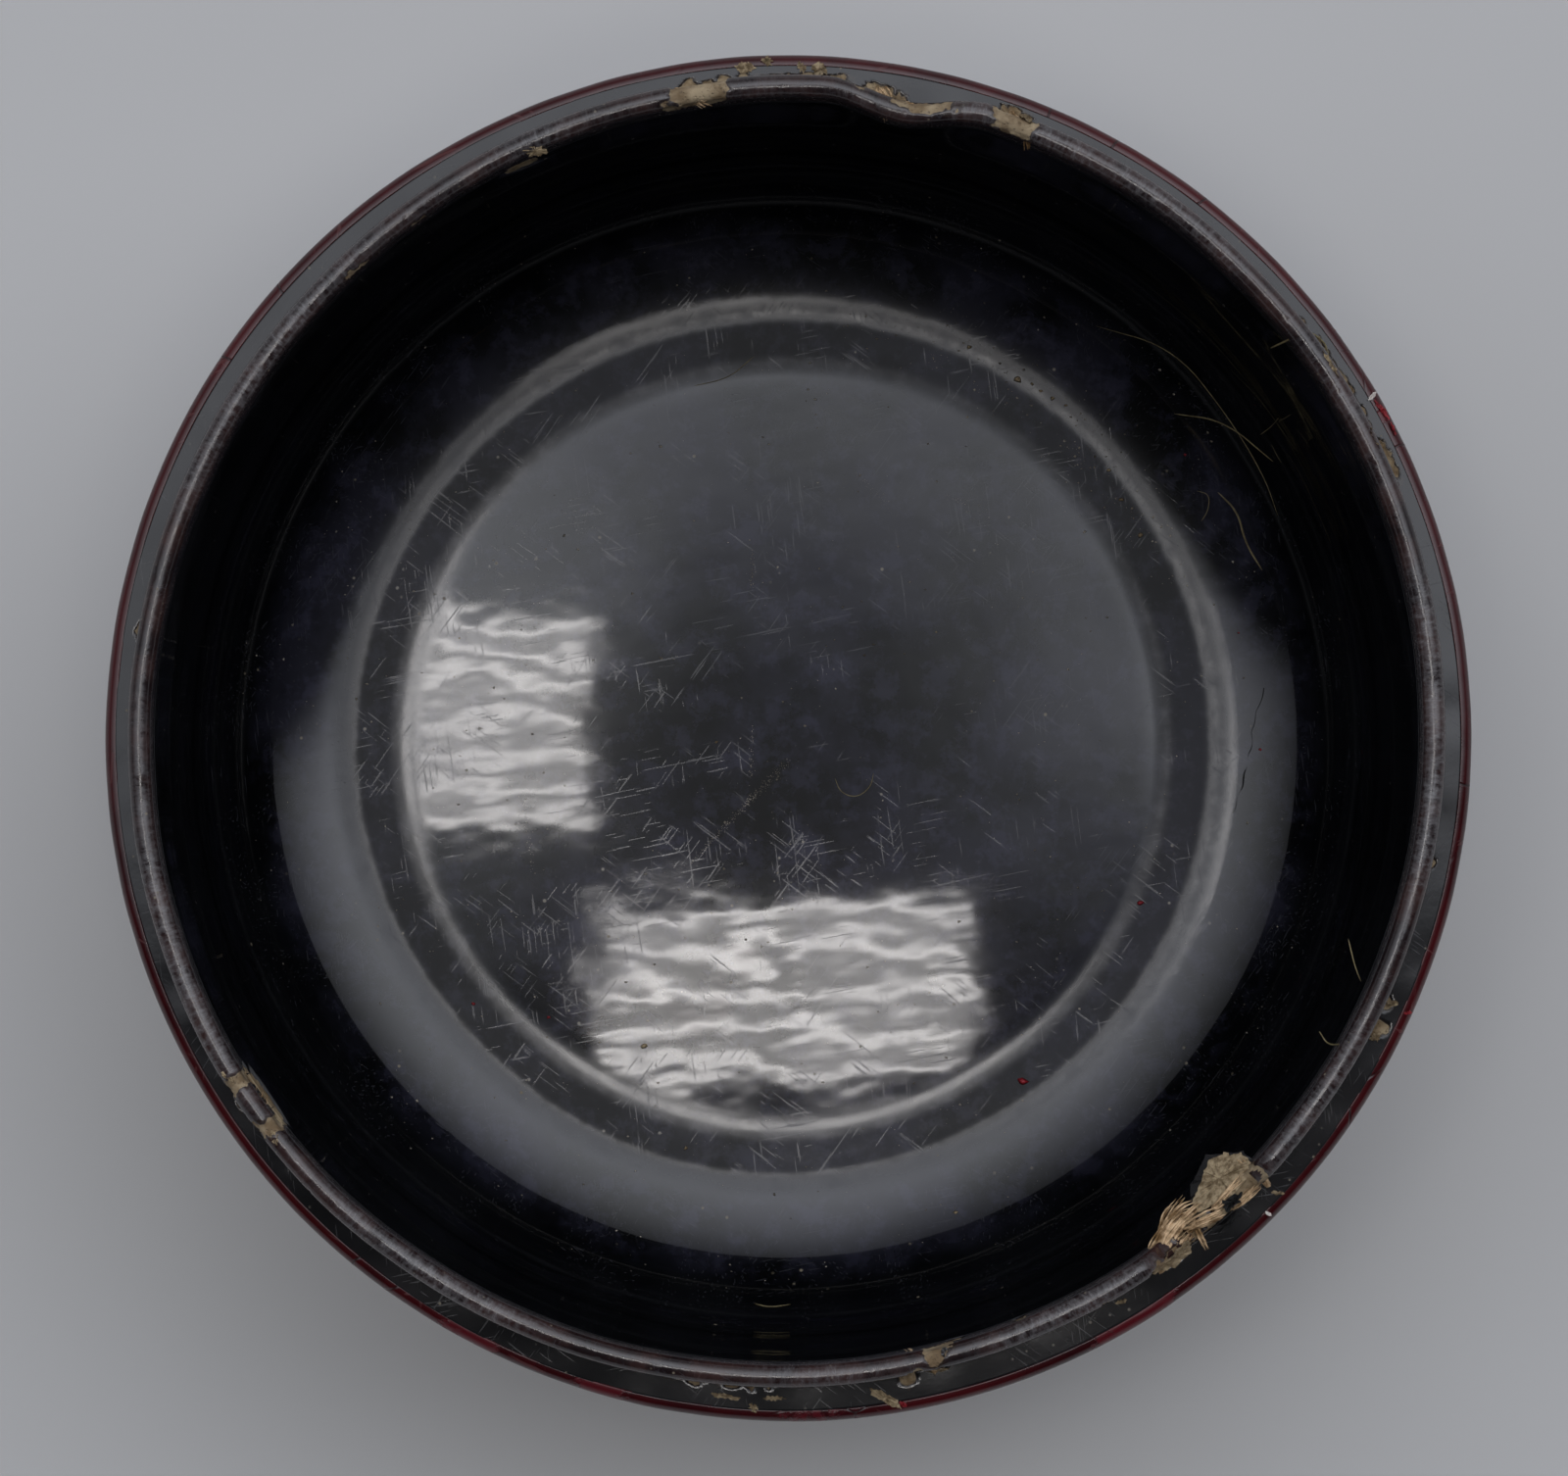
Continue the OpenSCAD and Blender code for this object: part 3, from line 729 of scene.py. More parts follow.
groundFlakes = addPlates("groundFlakes", [polar(*np.array(rim).T) for rim in (flapRim, leftFlake)]
                         + leaves(0.14, groundLeaves), 0.22, 401, 0.09)
# painted shade: near-black plates over the holes at the break
voidShadowPlates = addPlates("voidShadowPlates", [polar(*np.array(rim).T) for rim in voidShadowRims],
                      0.2, 405, 0.12)
blackFlakes = addPlates("lacquerFlakes", [polar(*np.array(underRim).T)] + leaves(0.1, blackLeaves),
                        0.16, 402)
redFlakes = addPlates("redFlakes", leaves(0.2, [(279.7, 69.1, 0.9, 0.5, 40)]) + leaves(0.1, redLeaves),
                      0.12, 403)
paleFlakes = addPlates("paleFlakes", leaves(0.3, [(30.3, 69.2, 1.3, 0.42, 75)])
                       + leaves(0.15, [(315.2, 69.1, 0.8, 0.35, 80)]), 0.12, 404, 0.02)

hairList = [
    # thickness, then places x, y on the inside
    (0.05, [(34.6, 46.6), (43, 44), (49, 36.5), (53, 30), (54.6, 25.5)]),
    (0.075, [(43.3, 36.9), (48.7, 36), (53.9, 31.3)]),
    (0.11, [(48.2, 28.2), (50.4, 26.0), (51.2, 22.6), (53.1, 19.5)]),
    (0.05, [(5.6, -3.6), (6.2, -5.2), (8.0, -5.8), (9.6, -4.6), (9.9, -3.0)]),
    (0.045, [(-10.0, 40.2), (-6.2, 41.0), (-3.4, 43.5)]),
    (0.07, [(-3.4, -61.6), (-1.7, -62.0), (0.6, -61.7)]),
    (0.04, [(52.4, 34.2), (53.8, 35.2), (54.4, 37.0)]),
    (0.04, [(53.6, 33.2), (54.2, 32.0), (54.8, 31.0)]),
    (0.04, [(45.9, 28.4), (47.3, 28.0), (47.2, 26.2), (46.4, 25.0)]),
]
rimHairList = [
    # thickness, then angles and radii of places on the lip, the ledge or just inside
    (0.11, [38.9, 38.3, 38.4], [63.4, 65.6, 67.4]), (0.10, [38.4, 36.4, 35.2], [67.4, 68.2, 67.2]),
    (0.08, [331.0, 330.2, 331.4], [62.0, 63.6, 64.8]), (0.07, [340.2, 338.0, 336.9], [60.8, 62.4, 63.6]),
]
hairSteps = 40
hairPaths = [onInside(smoothPath(places, hairSteps), thickness) for thickness, places in hairList]
for thickness, degrees, radius in rimHairList:
    degrees, radius = np.array(degrees), np.array(radius)
    height = np.where(radius < boreR, ledgeZ, topHeight(radius, degrees)) + 0.15
    hairPaths.append(smoothPath(polar(degrees, radius, height), hairSteps))
hairWidths = np.array([row[0] for row in hairList + rimHairList])
taper = hairWidths[:, None] * (1 - 0.75 * np.abs(np.linspace(-1, 1, hairSteps)) ** 6)
looseHairs = addStrands("looseHairs", np.stack(hairPaths), taper, 6)

crackShape = {
    "corners": [(53.2, 6.5), (52.2, 1.6), (51.1, -4.4), (47.9, -13.1), (45.2, -18), (43.6, -24)],
    "halfWidth": 0.09,
    "wander": 0.12,
    "lift": 0.005,
}
crackLine = smoothPath(crackShape["corners"], 90)
wander = np.stack([waves(*crackLine.T, 0, 2.2, seed) for seed in (421, 422)], 1)
crackLine = crackLine + crackShape["wander"] * wander
crackWidth = crackShape["halfWidth"] * (0.6 + 0.4 * np.abs(waves(*crackLine.T, 0, 3, 423)))
# painted shade: the crack is a near-black strand lying on the floor
crackShadowStrand = addStrands("crackShadowStrand", onInside(crackLine, crackShape["lift"])[None], crackWidth[None],
                       6, 0.25)

looseDust = {
    "count": 1300,  # specks spread evenly over the floor, with a third as many more round the groove
    "floorReach": 50,
    "groove": (47.5, 1.8),  # radius and its spread
    "grooveSide": (50, 26),  # angle and its spread
    "corner": (50, 61),  # a quarter as many more lie between these radii
    "smallest": 0.055,
    "largest": 0.16,  # on top of the smallest, and rare
    # fine specks along lines: start, end, how many, and how far they stray
    "lines": [((-10.5, -13.1), (0.4, -1.6), 420, 0.26), ((-3.6, 21.8), (-3.6, 17.5), 50, 0.2),
              ((-3.6, 2.2), (-3.6, -3.3), 60, 0.16), ((7.4, 31.2), (12.2, 26.0), 90, 0.35),
              ((-29.0, -6.0), (-28.2, -14.0), 60, 0.25), ((17.6, 28.0), (23.0, 26.0), 40, 0.3)],
}


def scatter(count, seed):  # dust over the floor and the corner, and thicker along one side of the groove
    rng = np.random.default_rng(seed)
    more, few = count // 3, count // 4
    radius = np.concatenate([looseDust["floorReach"] * np.sqrt(rng.uniform(0, 1, count)),
                             rng.normal(*looseDust["groove"], more), rng.uniform(*looseDust["corner"], few)])
    degrees = np.concatenate([rng.uniform(0, 360, count), rng.normal(*looseDust["grooveSide"], more),
                              rng.uniform(0, 360, few)])
    size = looseDust["smallest"] + looseDust["largest"] * rng.uniform(0, 1, len(radius)) ** 5
    return polar(degrees, radius, insideHeight(radius)), size


def dustLine(start, end, count, width, seed):  # fine specks strewn along a line
    rng = np.random.default_rng(seed)
    way = rng.uniform(0, 1, (count, 1))
    stray = rng.normal(size=(count, 2)) * width * (0.3 + way)
    return onInside(np.array(start) * (1 - way) + np.array(end) * way + stray), rng.uniform(0.03, 0.09, count)


def addCrumbs(name, rows, seed, height):  # single specks, each given by x, y and size
    rows = np.array(rows)
    return addSpecks(name, onInside(rows[:, :2]), rows[:, 2], seed, height)


dustParts = [scatter(looseDust["count"], 431)]
dustParts += [dustLine(*row, 432 + number) for number, row in enumerate(looseDust["lines"])]
dustPlaces, dustSizes = (np.concatenate(part) for part in zip(*dustParts))
dust = addSpecks("dust", dustPlaces, dustSizes, 440)
crumbs = addCrumbs("crumbs", [
    (20.6, 44.5, 0.3), (26.1, 40.9, 0.45), (29.9, 38.8, 0.35), (36.2, 30.8, 0.28), (37.6, 27.5, 0.3),
    (39.7, 23.5, 0.35), (-15.7, -33.4, 0.4), (-11, -44.8, 0.28), (19, -51.9, 0.3), (28.6, 39.6, 0.3),
    (31.4, 38.0, 0.26), (27.6, 40.4, 0.24), (-7.6, 0.4, 0.22), (16.9, 12.7, 0.16), (-36.2, 12.0, 0.15),
    (-20.6, -33.0, 0.14),
], 441, 0.6)
redCrumbs = addCrumbs("redCrumbs", [
    (26.6, -37.4, 0.62), (-26.3, -30.2, 0.3), (-34.7, -28.7, 0.26), (39.7, -17.5, 0.42),
    (50.6, 12.6, 0.26), (53.0, -0.4, 0.24), (44.6, 32.4, 0.24),
], 442, 0.5)
print("torn fibres, flakes, hairs and dust made")


# materials: a wire is one output of a node, and sums or products of wires add nodes
class Wire:
    def __init__(self, socket):
        self.socket = socket

    def make(self, kind, settings=None, inputs=None, out=0):  # any node, with its settings set first
        tree = self.socket.id_data
        node = tree.nodes.new("ShaderNode" + kind)
        for key, value in (settings or {}).items():
            if key == "stops":
                while len(node.color_ramp.elements) < len(value):
                    node.color_ramp.elements.new(0.5)
                for element, (place, colour) in zip(node.color_ramp.elements, value):
                    element.position, element.color = place, colour
            else:
                setattr(node, key, value)
        for key, value in (inputs or {}).items():
            if isinstance(value, Wire):
                tree.links.new(value.socket, node.inputs[key])
            else:
                node.inputs[key].default_value = value
        return Wire(node.outputs[out])

    def math(self, operation, *others):  # a Math node of this wire and others
        return self.make("Math", {"operation": operation}, dict(enumerate((self,) + others)))

    def __add__(self, other):
        return self.math("ADD", other)

    def __mul__(self, other):
        return self.math("MULTIPLY", other)

    def __sub__(self, other):
        return self.math("SUBTRACT", other)

    def __rsub__(self, other):
        return self.make("Math", {"operation": "SUBTRACT"}, {0: other, 1: self})

    def __truediv__(self, other):
        return self.math("DIVIDE", other)

    def __pow__(self, other):
        return self.math("POWER", other)

    __radd__, __rmul__ = __add__, __mul__

    def parts(self):  # the x, y and z of a vector
        separate = self.make("SeparateXYZ", None, {0: self}).socket.node
        return [Wire(output) for output in separate.outputs]

    def step(self, low, high):  # smooth step from 0 at low to 1 at high
        return self.make("MapRange", {"interpolation_type": "SMOOTHSTEP"},
                         {"Value": self, "From Min": low, "From Max": high})

    def clamp(self):  # held between 0 and 1
        return self.make("Clamp", None, {"Value": self})

    def noise(self, scale, detail=3.0, rough=0.55, stretch=(1, 1, 1), spin=(0, 0, 0)):  # scale per metre
        vector = self
        if stretch != (1, 1, 1) or spin != (0, 0, 0):
            wide = tuple(1 / share for share in stretch)
            vector = self.make("Mapping", {"vector_type": "TEXTURE"},
                               {"Vector": self, "Rotation": spin, "Scale": wide})
        return self.make("TexNoise", None, {"Vector": vector, "Scale": scale, "Detail": detail,
                                            "Roughness": rough})

    def cells(self, scale, feature="F1"):  # distance to the nearest point, or to a cell's edge
        return self.make("TexVoronoi", {"feature": feature}, {"Vector": self, "Scale": scale})

    def blend(self, first, second):  # this wire as the factor between two colours
        return self.make("Mix", {"data_type": "RGBA"}, {0: self, 6: first, 7: second}, 2)


def rgb(red, green, blue):  # a colour, fully opaque
    return (red, green, blue, 1.0)


def newMaterial(name):  # a material, its object coordinates and its Principled shader
    material = bpy.data.materials.new(name)
    material.use_nodes = True
    tree = material.node_tree
    shader = tree.nodes["Principled BSDF"]
    place = Wire(tree.nodes.new("ShaderNodeTexCoord").outputs["Object"])
    return material, place, shader


def finishShader(shader, **inputs):  # plain values stay on the shader's sockets, wires are linked
    for key, value in inputs.items():
        socket = shader.inputs[key.replace("_", " ")]
        if isinstance(value, Wire):
            socket.id_data.links.new(value.socket, socket)
        else:
            socket.default_value = value


def fieldOf(place, name):  # a number kept at the mesh's points
    return place.make("Attribute", {"attribute_name": name}, None, 2)


def relief(height, distance):  # a bump that rises by the distance where the height is 1
    return height.make("Bump", None, {"Height": height, "Distance": distance, "Strength": 1.0})


def scratches(place, scale, angles, keep):  # thin broken lines in a few directions
    total = None
    for number, angle in enumerate(angles):
        lines = place.noise(scale, 1.0, 0.5, (0.035, 1.0, 0.6), (0, 0, angle))
        cut = place.noise(110 + 17 * number, 2.0, 0.5)
        found = lines.step(keep, keep + 0.03) * cut.step(0.52, 0.6)
        total = found if total is None else total.math("MAXIMUM", found)
    return total


def crackLines(place, scale, width):  # fine age cracks: the borders between warped cells
    warp = place.make("TexNoise", None, {"Vector": place, "Scale": scale * 0.7, "Detail": 3.0}, 1)
    moved = place.make("VectorMath", {"operation": "MULTIPLY_ADD"},
                       {0: warp, 1: (0.35 / scale,) * 3, 2: place})
    return 1 - moved.cells(scale, "DISTANCE_TO_EDGE").step(0.0, width)


groundTones = {
    "pale": rgb(0.40, 0.315, 0.20),
    "dark": rgb(0.17, 0.115, 0.06),
    "stain": rgb(0.055, 0.04, 0.028),
}


def groundColour(place):  # two tones mixed by a cloud, with small dark stains
    cloud = place.noise(420, 4.0, 0.6)
    fine = place.noise(2600, 2.0, 0.6)
    colour = cloud.step(0.35, 0.68).blend(groundTones["dark"], groundTones["pale"])
    return (fine.step(0.6, 0.74) * 0.7).blend(colour, groundTones["stain"])


def groundHeight(place):  # a rough cloud, less pores where cells are near their points
    pores = 1 - place.cells(2100).step(0.08, 0.3)
    return place.noise(900, 4.0, 0.65) - 0.8 * pores


def chippedLacquer(name, tones):
    # glossy coat over ground: the point field "chip" says how far inside a chip a place is
    material, place, shader = newMaterial(name)
    chip = fieldOf(place, "chip") + (place.noise(2200, 2.0) - 0.5) * 0.16
    bare = chip.step(0.02, 0.1)
    rim = chip.step(-0.28, -0.02) * (1 - bare)
    cloud = place.noise(tones["cloudScale"], 5.0, 0.6)
    smear = place.noise(tones["cloudScale"] * 4.5, 4.0, 0.7)
    film = fieldOf(place, "film") * (0.55 + smear * 0.9)
    low = fieldOf(place, "low")
    dusty = place.noise(160, 2.0).step(*tones["dustSpread"])
    dust = (1 - place.cells(tones["dustScale"]).step(0.05, 0.13)) * dusty
    marks = scratches(place, tones["scratchScale"], tones["scratchAngles"], tones["scratchKeep"])
    colour = cloud.step(0.35, 0.7).blend(tones["dark"], tones["pale"])
    patches = cloud.step(0.4, 0.6) * 0.45 + smear.step(0.47, 0.65) * 0.55
    colour = (low * patches).blend(colour, tones["lowTone"])
    # painted sheen: the grey of the floor's film is dust, and it also lightens the groove and paints the soft
    # glint line along the crease
    colour = film.clamp().blend(colour, tones["dustSheenTone"])
    colour = (marks * tones["scratchShow"]).blend(colour, tones["scratchTone"])
    colour = dust.blend(colour, tones["dustTone"])
    colour = (rim * 0.7).blend(colour, rgb(0.03, 0.02, 0.014))
    colour = bare.blend(colour, groundColour(place))
    rough = tones["rough"] + (cloud - 0.5) * tones["roughSpread"] + marks * 0.1 + dust * 0.5
    rough = (rough + film * film * 0.4 + bare * 0.7).clamp()
    slow = place.noise(tones["rippleScale"], 1.0, 0.5, tones["rippleStretch"], tones["rippleSpin"])
    fine = place.noise(tones["fineScale"], 3.0, 0.6)
    height = slow * tones["rippleHeight"] + fine * tones["fineHeight"] - marks * tones["scratchDepth"]
    if tones["streaks"]:  # fine streaks that run across the lip, with painted highlights on the crest
        way, out, z = aroundAxis(place)
        across = place.make("CombineXYZ", None, {0: way * (turn * lipR * mm), 1: out * 0.45, 2: z * 0.45})
        streak = across.noise(2100, 5.0, 0.72)
        # painted highlight: pale grey glints painted along the lip's crest where the streaks are high
        glintBand = z.step((lipZ - 1.3) * mm, (lipZ - 0.15) * mm) * place.noise(34, 2.0).step(0.4, 0.62)
        colour = (streak.step(0.35, 0.8) * glintBand * (1 - bare)).blend(colour, tones["crestGlintTone"])
        height = height + streak * tones["streaks"]
        rough = (rough + (streak - 0.5) * 0.5 * (1 - bare)).clamp()
    height = height * (1 - bare) + bare * groundHeight(place) * 0.12
    finishShader(shader, Base_Color=colour, Roughness=rough, Normal=relief(height, mm), IOR=tones["ior"],
                 Specular_IOR_Level=tones["shine"], Coat_Weight=(1 - bare) * low * tones["haze"],
                 Coat_Roughness=tones["hazeRough"])
    return material


blackTones = {
    "dark": rgb(0.0016, 0.0018, 0.0022), "pale": rgb(0.0042, 0.0046, 0.0052), "cloudScale": 70,
    # the grey tone of the floor's film is dust, and also painted sheen that lightens the groove and the
    # crease
    "lowTone": rgb(0.028, 0.028, 0.047), "dustSheenTone": rgb(0.042, 0.044, 0.050), "streaks": 0,
    "dustScale": 520, "dustSpread": (0.56, 0.7), "dustTone": rgb(0.2, 0.17, 0.12),
    "scratchScale": 4600, "scratchAngles": (0.2, 0.95, 1.7, 2.5), "scratchKeep": 0.67,
    "scratchShow": 0.2, "scratchTone": rgb(0.09, 0.09, 0.105), "scratchDepth": 0.001,
    "rough": 0.05, "roughSpread": 0.04, "shine": 0.42, "ior": 1.52,
    "haze": 0.12, "hazeRough": 0.3,  # a thin cloudy coat, only where the mesh's field "low" is set
    "rippleScale": 330, "rippleStretch": (0.55, 1.0, 1.0), "rippleSpin": (0, 0, 0.12), "rippleHeight": 0.0115,
    "fineScale": 1500, "fineHeight": 0.0001,
}
lipTones = dict(blackTones, dark=rgb(0.012, 0.007, 0.008), pale=rgb(0.045, 0.022, 0.02), cloudScale=260,
                # the crest tone is a painted highlight on the lip's crest
                crestGlintTone=rgb(0.15, 0.142, 0.147), shine=0.6,
                rough=0.2, roughSpread=0.2, streaks=0.012, rippleScale=420, rippleStretch=(1.0, 1.0, 0.5),
                rippleHeight=0.05, fineScale=1900, fineHeight=0.02, dustSpread=(0.5, 0.66), dustScale=700)
ledgeTones = dict(blackTones, rough=0.13, roughSpread=0.08, rippleHeight=0.012, fineHeight=0.004,
                  dustSpread=(0.5, 0.64), dustScale=640, scratchShow=0.15,
                  dark=rgb(0.004, 0.004, 0.0048), pale=rgb(0.014, 0.013, 0.014))


def wornLacquer(name, tones):
    # plain coat with the point field "rub": rubbed places are brighter, then bare
    material, place, shader = newMaterial(name)
    rub = fieldOf(place, "rub")
    patch = place.noise(700, 4.0, 0.65)
    worn = (rub + (patch - 0.5) * 0.9 * rub.step(0.02, 0.3)).step(0.45, 0.62)
    bare = (rub + (patch - 0.5) * 1.1 * rub.step(0.02, 0.3)).step(tones["bareAt"], tones["bareAt"] + 0.07)
    cloud = place.noise(45, 5.0, 0.62)
    drift = place.noise(150, 3.0, 0.6, (1.0, 1.0, 0.35))
    colour = cloud.step(0.32, 0.7).blend(tones["dark"], tones["pale"])
    colour = (drift.step(0.5, 0.78) * 0.5).blend(colour, tones["deep"])
    cracks = crackLines(place, tones["crackScale"], 0.018) * place.noise(38, 2.0).step(0.48, 0.62)
    colour = (cracks * 0.8).blend(colour, tones["crack"])
    marks = scratches(place, 1300, (0.4, 1.5, 2.6), 0.67)
    colour = (marks * 0.35).blend(colour, tones["mark"])
    specks = (1 - place.cells(430).step(0.05, 0.12)) * place.noise(90, 2.0).step(0.55, 0.68)
    colour = specks.blend(colour, tones["deep"])
    colour = worn.blend(colour, tones["rubbed"])
    colour = bare.blend(colour, groundColour(place))
    rough = tones["rough"] + (cloud - 0.5) * 0.16 + marks * 0.2 + worn * 0.15 + bare * 0.4 + cracks * 0.2
    slow = place.noise(120, 2.0, 0.5, (1.0, 1.0, 1.6))
    fine = place.noise(1400, 3.0, 0.6)
    height = slow * 0.12 + fine * 0.006 - cracks * 0.05 - marks * 0.006 - worn * 0.05 - bare * 0.1
    height = height + bare * groundHeight(place) * 0.08
    finishShader(shader, Base_Color=colour, Roughness=rough.clamp(), Normal=relief(height, mm), IOR=1.52)
    return material


redTones = {
    "dark": rgb(0.026, 0.0022, 0.0035), "pale": rgb(0.062, 0.004, 0.006), "deep": rgb(0.014, 0.002, 0.003),
    "crack": rgb(0.006, 0.002, 0.002), "mark": rgb(0.13, 0.04, 0.038), "rubbed": rgb(0.085, 0.0025, 0.007),
    "rough": 0.2, "crackScale": 95, "bareAt": 1.1,
}
baseTones = dict(redTones, dark=rgb(0.0035, 0.0033, 0.004), pale=rgb(0.012, 0.011, 0.012),
                 deep=rgb(0.02, 0.016, 0.012), crack=rgb(0.05, 0.04, 0.03), mark=rgb(0.09, 0.085, 0.08),
                 rubbed=rgb(0.05, 0.035, 0.025), rough=0.26, bareAt=0.7)


def plainGround():  # bare ground coat, dry and pored
    material, place, shader = newMaterial("buffGround")
    finishShader(shader, Base_Color=groundColour(place), Roughness=0.85,
                 Normal=relief(groundHeight(place), 0.12 * mm), Specular_IOR_Level=0.25)
    return material


def fromAxis(x, y):  # distance from the axis: the root of x squared and y squared
    return (x * x + y * y) ** 0.5


def aroundAxis(place):  # the way round the axis in turns, the distance from the axis, and the height
    x, y, z = place.parts()
    return y.math("ARCTAN2", x) / turn, fromAxis(x, y), z


weave = {"threads": 620, "rows": 1450}  # threads in a turn round the axis, and rows in a metre


def wovenCloth():
    # plain weave: two sets of threads, over and under by turns, with their gaps filled by lacquer
    material, place, shader = newMaterial("hempCloth")
    way, out, z = aroundAxis(place)
    rise = (z + out) * weave["rows"]
    warp = (way * weave["threads"] + rise.math("FLOOR") * 0.5).math("FRACT") - 0.5
    weft = rise.math("FRACT") - 0.5
    over = 1 - (warp * warp + weft * weft) * 3.2
    slub = place.noise(500, 3.0, 0.6)
    height = over + slub * 0.4
    colour = height.step(0.1, 1.1).blend(rgb(0.07, 0.045, 0.025), rgb(0.42, 0.32, 0.19))
    colour = slub.step(0.5, 0.75).blend(colour, rgb(0.27, 0.19, 0.10))
    finishShader(shader, Base_Color=colour, Roughness=0.75 + slub * 0.2, Normal=relief(height, 0.25 * mm),
                 Specular_IOR_Level=0.3)
    return material


def bentWood(name, pale, dark):
    # straight grain that runs round the axis: rings cut as fine lines, with pores and a few dark streaks
    material, place, shader = newMaterial(name)
    x, y, z = place.parts()
    drift = place.noise(24, 2.0, 0.5)
    along = place.make("CombineXYZ", None, {0: x * 0.06, 1: y * 0.06, 2: z + drift * 0.004})
    fine = place.make("TexNoise", {"noise_dimensions": "4D"},
                      {"Vector": along, "W": fromAxis(x, y), "Scale": 900.0, "Detail": 3.0, "Roughness": 0.6})
    rings = (z * 700 + drift * 9).math("SINE") * 0.5 + 0.5
    pores = place.noise(5200, 1.0, 0.5, (0.05, 0.05, 1.0)).step(0.62, 0.7)
    grain = (fine * 0.65 + rings * 0.35).clamp()
    colour = grain.step(0.3, 0.75).blend(dark, pale)
    colour = (pores * 0.5).blend(colour, rgb(0.12, 0.06, 0.025))
    finishShader(shader, Base_Color=colour, Roughness=0.6 + grain * 0.2,
                 Normal=relief(grain - pores * 0.5, 0.15 * mm), Specular_IOR_Level=0.3)
    return material


def looseBit(name, pale, dark, scale=900, rough=0.75):  # small loose pieces: mottled and matte
    material, place, shader = newMaterial(name)
    cloud = place.noise(scale, 4.0, 0.65)
    fine = place.noise(scale * 4, 2.0, 0.6)
    colour = cloud.step(0.35, 0.66).blend(dark, pale)
    finishShader(shader, Base_Color=colour, Roughness=(rough + (fine - 0.5) * 0.3).clamp(),
                 Normal=relief(cloud + fine * 0.5, 0.1 * mm), Specular_IOR_Level=0.35)
    return material


materials = {
    "fibre": looseBit("tornFibre", rgb(0.78, 0.56, 0.34), rgb(0.17, 0.095, 0.035), 620),
    "flake": looseBit("buffFlake", rgb(0.42, 0.33, 0.205), rgb(0.15, 0.105, 0.055), 1500),
    "redBit": looseBit("redFlake", rgb(0.34, 0.02, 0.03), rgb(0.16, 0.01, 0.014), 900, 0.5),
    "paleBit": looseBit("paleFlake", rgb(0.78, 0.74, 0.70), rgb(0.55, 0.5, 0.46)),
    "hair": looseBit("looseHair", rgb(0.24, 0.20, 0.10), rgb(0.11, 0.085, 0.04), 500, 0.5),
    "crack": looseBit("crackShadow", rgb(0.0015, 0.0015, 0.0015), rgb(0.001, 0.001, 0.001)),
    "dust": looseBit("dustSpeck", rgb(0.46, 0.41, 0.34), rgb(0.09, 0.075, 0.055), 160),
    "inner": chippedLacquer("blackInside", blackTones),
    "lip": chippedLacquer("brownLip", lipTones),
    "ledge": chippedLacquer("blackLedge", ledgeTones),
    "red": wornLacquer("redOutside", redTones),
    "base": wornLacquer("blackBase", baseTones),
    "ground": plainGround(),
    "cloth": wovenCloth(),
    "wood": bentWood("bentCoreWood", rgb(0.56, 0.37, 0.19), rgb(0.33, 0.18, 0.075)),
}


def dress(piece, key):  # gives a piece its one material
    piece.data.materials.clear()
    piece.data.materials.append(materials[key])


looks = {
    "inner": [innerFinish], "lip": [lipFinish], "ledge": [ledgeFinish], "red": [outerFinish],
    "base": [footFinish, baseFinish, blackFlakes], "ground": [innerGround, lipGround],
    "cloth": [innerCloth, lipCloth], "wood": [lipHoop], "fibre": [woodFibres],
    "flake": [groundFlakes, crumbs], "redBit": [redFlakes, redCrumbs], "paleBit": [paleFlakes],
    "hair": [looseHairs], "crack": [crackShadowStrand, voidShadowPlates], "dust": [dust],
}
for key, pieces in looks.items():
    for piece in pieces:
        dress(piece, key)
slotLooks = {"core_wood": "wood", "hemp_cloth": "cloth", "buff_ground": "ground", "black_lacquer": "base",
             "lip_lacquer": "base", "red_lacquer": "red"}
slotOf = {part["node"]: part["material_slot"] for part in frame["record"]["subparts"]}
for node, thing in frame["nodes"].items():
    dress(thing, slotLooks[slotOf[node]])
print("materials made")


# floor, light and camera
studio = {
    "cameraHeight": 750.0,  # above the ledge
    "cameraSide": -5.0,
    "cameraBack": -10.9,
    "frameWidth": 160.3,  # what the camera takes in at the ledge's height
    "aimSide": -0.47,
    "aimBack": -0.08,
    "lampHeight": 1212.0,
    # soft boxes: middle x, y, width, depth, brightness of the panel, number of tubes, their brightness
    "leftLamp": (-176.0, 33.0, 116.0, 136.0, 2.5, 7, 23.0),
    "nearLamp": (8.0, -144.0, 236.0, 106.0, 3.1, 5, 27.0),
    "tubeWidth": 6.0,
    "tubeDrop": 2.0,  # below the panel
    "lampColour": (1.0, 0.97, 0.955),
    "skyColour": (0.93, 0.96, 1.04, 1),
    "skyLow": 0.42,  # strengths of the light near the horizon, overhead, and of a small card overhead
    "skyHigh": 2.8,
    "skyCard": 1.1,
    "floorHalf": 1.6,  # metres
}


def stageFloor():  # a wide pale square under the bowl
    mesh = bpy.data.meshes.new("studioFloor")
    s = studio["floorHalf"]
    mesh.from_pydata([(-s, -s, 0), (s, -s, 0), (s, s, 0), (-s, s, 0)], [], [(0, 1, 2, 3)])
    floor = bpy.data.objects.new("studioFloor", mesh)
    bpy.context.scene.collection.objects.link(floor)
    material, place, shader = newMaterial("paleFloor")
    tone = place.noise(9, 3.0).blend(rgb(0.60, 0.60, 0.595), rgb(0.64, 0.64, 0.635))
    finishShader(shader, Base_Color=tone, Roughness=0.9, Specular_IOR_Level=0.1)
    mesh.materials.append(material)


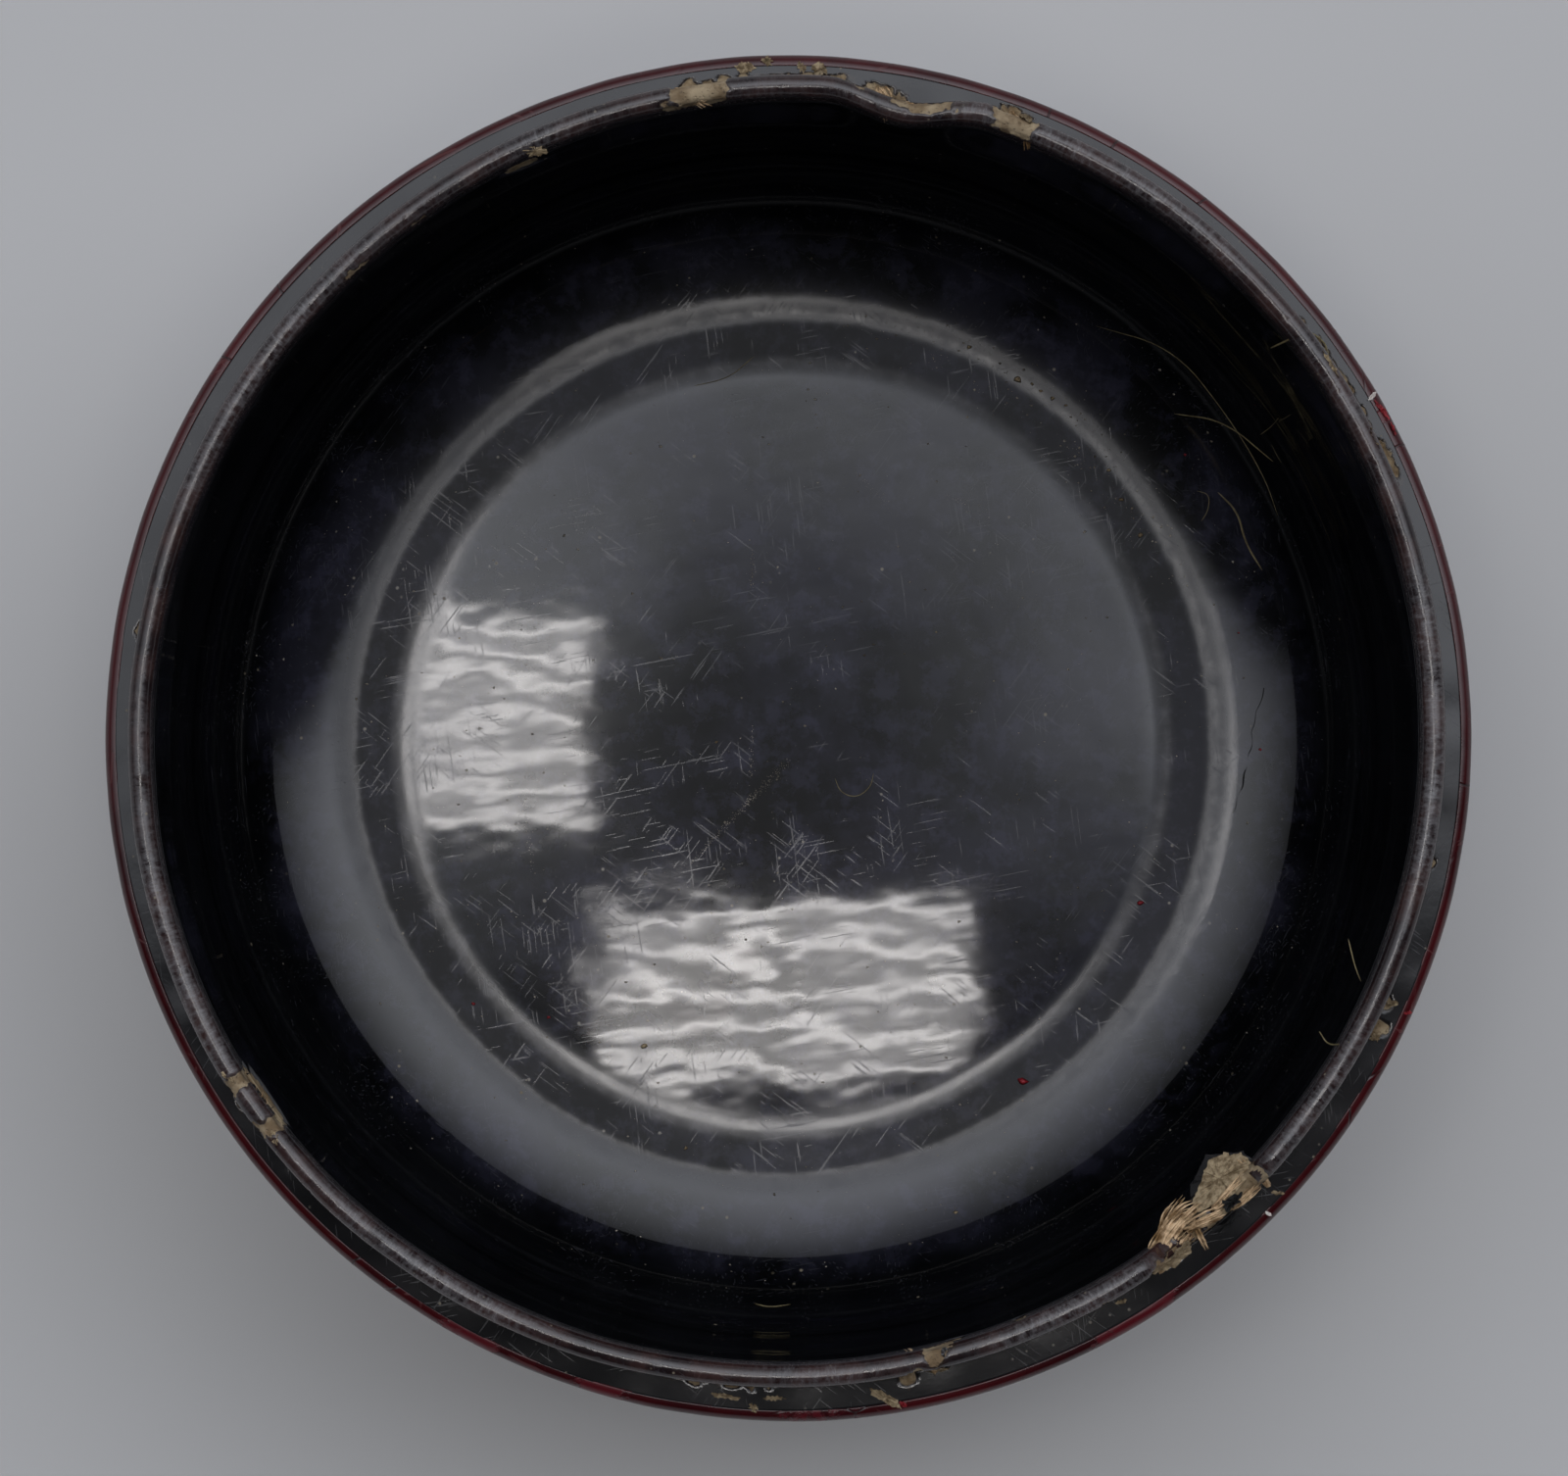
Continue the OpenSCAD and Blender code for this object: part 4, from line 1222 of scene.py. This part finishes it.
def lamp(name, middleX, middleY, width, depth, brightness):  # a rectangle that shines straight down
    light = bpy.data.lights.new(name, "AREA")
    light.shape = "RECTANGLE"
    light.size, light.size_y = width * mm, depth * mm
    light.color = studio["lampColour"]
    light.energy = brightness * math.pi * light.size * light.size_y
    thing = bpy.data.objects.new(name, light)
    thing.location = middleX * mm, middleY * mm, studio["lampHeight"] * mm
    bpy.context.scene.collection.objects.link(thing)
    return thing


def softBox(name, middleX, middleY, width, depth, panel, tubes, tubeBrightness):
    # a dim panel with level tubes just below it, evenly spaced from edge to edge
    lamp(name + "Panel", middleX, middleY, width, depth, panel)
    gap = (depth - studio["tubeWidth"]) / (tubes - 1)
    for number in range(tubes):
        y = middleY - depth / 2 + studio["tubeWidth"] / 2 + gap * number
        tube = lamp(name + "Tube" + str(number), middleX, y, width, studio["tubeWidth"], tubeBrightness)
        tube.location.z -= studio["tubeDrop"] * mm


def skyLight():
    # soft light from above: strongest overhead, weaker to the left and the front
    world = bpy.data.worlds.new("softSky")
    bpy.context.scene.world = world
    world.use_nodes = True
    tree = world.node_tree
    way = Wire(tree.nodes.new("ShaderNodeTexCoord").outputs["Generated"])
    x, y, z = way.parts()
    high = z.math("MAXIMUM", 0.0) ** 2.5
    middle = fromAxis(x, y).step(0.02, 0.28) * 0.92 + 0.08
    away = (y - x * 0.1).step(-0.12, 0.03) * 0.97 + 0.03
    left = 1 - (-1 * x).step(0.0, 0.3) * 0.35
    card = ((x + 0.12) ** 2.0 + (y - 0.1) ** 2.0) ** 0.5
    strength = studio["skyLow"] * (1 - z.step(0.05, 0.35)) + studio["skyHigh"] * high * middle * away * left
    strength = strength + studio["skyCard"] * (1 - card.step(0.0, 0.11)) * high
    back = tree.nodes["Background"]
    back.inputs["Color"].default_value = studio["skyColour"]
    tree.links.new(strength.socket, back.inputs["Strength"])


def makeCamera():  # looks down at the bowl, level, with its lens set by the width it takes in
    camera = bpy.data.objects.new("camera", bpy.data.cameras.new("camera"))
    bpy.context.scene.collection.objects.link(camera)
    place = Vector((studio["cameraSide"], studio["cameraBack"], ledgeZ + studio["cameraHeight"]))
    aim = Vector((studio["aimSide"], studio["aimBack"], ledgeZ))
    camera.location = place * mm
    ahead = (aim - place).normalized()
    right = (Vector((1, 0, 0)) - ahead * ahead.x).normalized()  # level, so that the view has no roll
    camera.rotation_euler = Matrix((right, right.cross(ahead), -ahead)).transposed().to_euler()
    camera.data.lens = camera.data.sensor_width * (place - aim).length / studio["frameWidth"]
    bpy.context.scene.camera = camera


stageFloor()
skyLight()
softBox("leftLamp", *studio["leftLamp"])
softBox("nearLamp", *studio["nearLamp"])
makeCamera()
view = bpy.context.scene.view_settings
view.view_transform = "Standard"
print("floor, light and camera set")
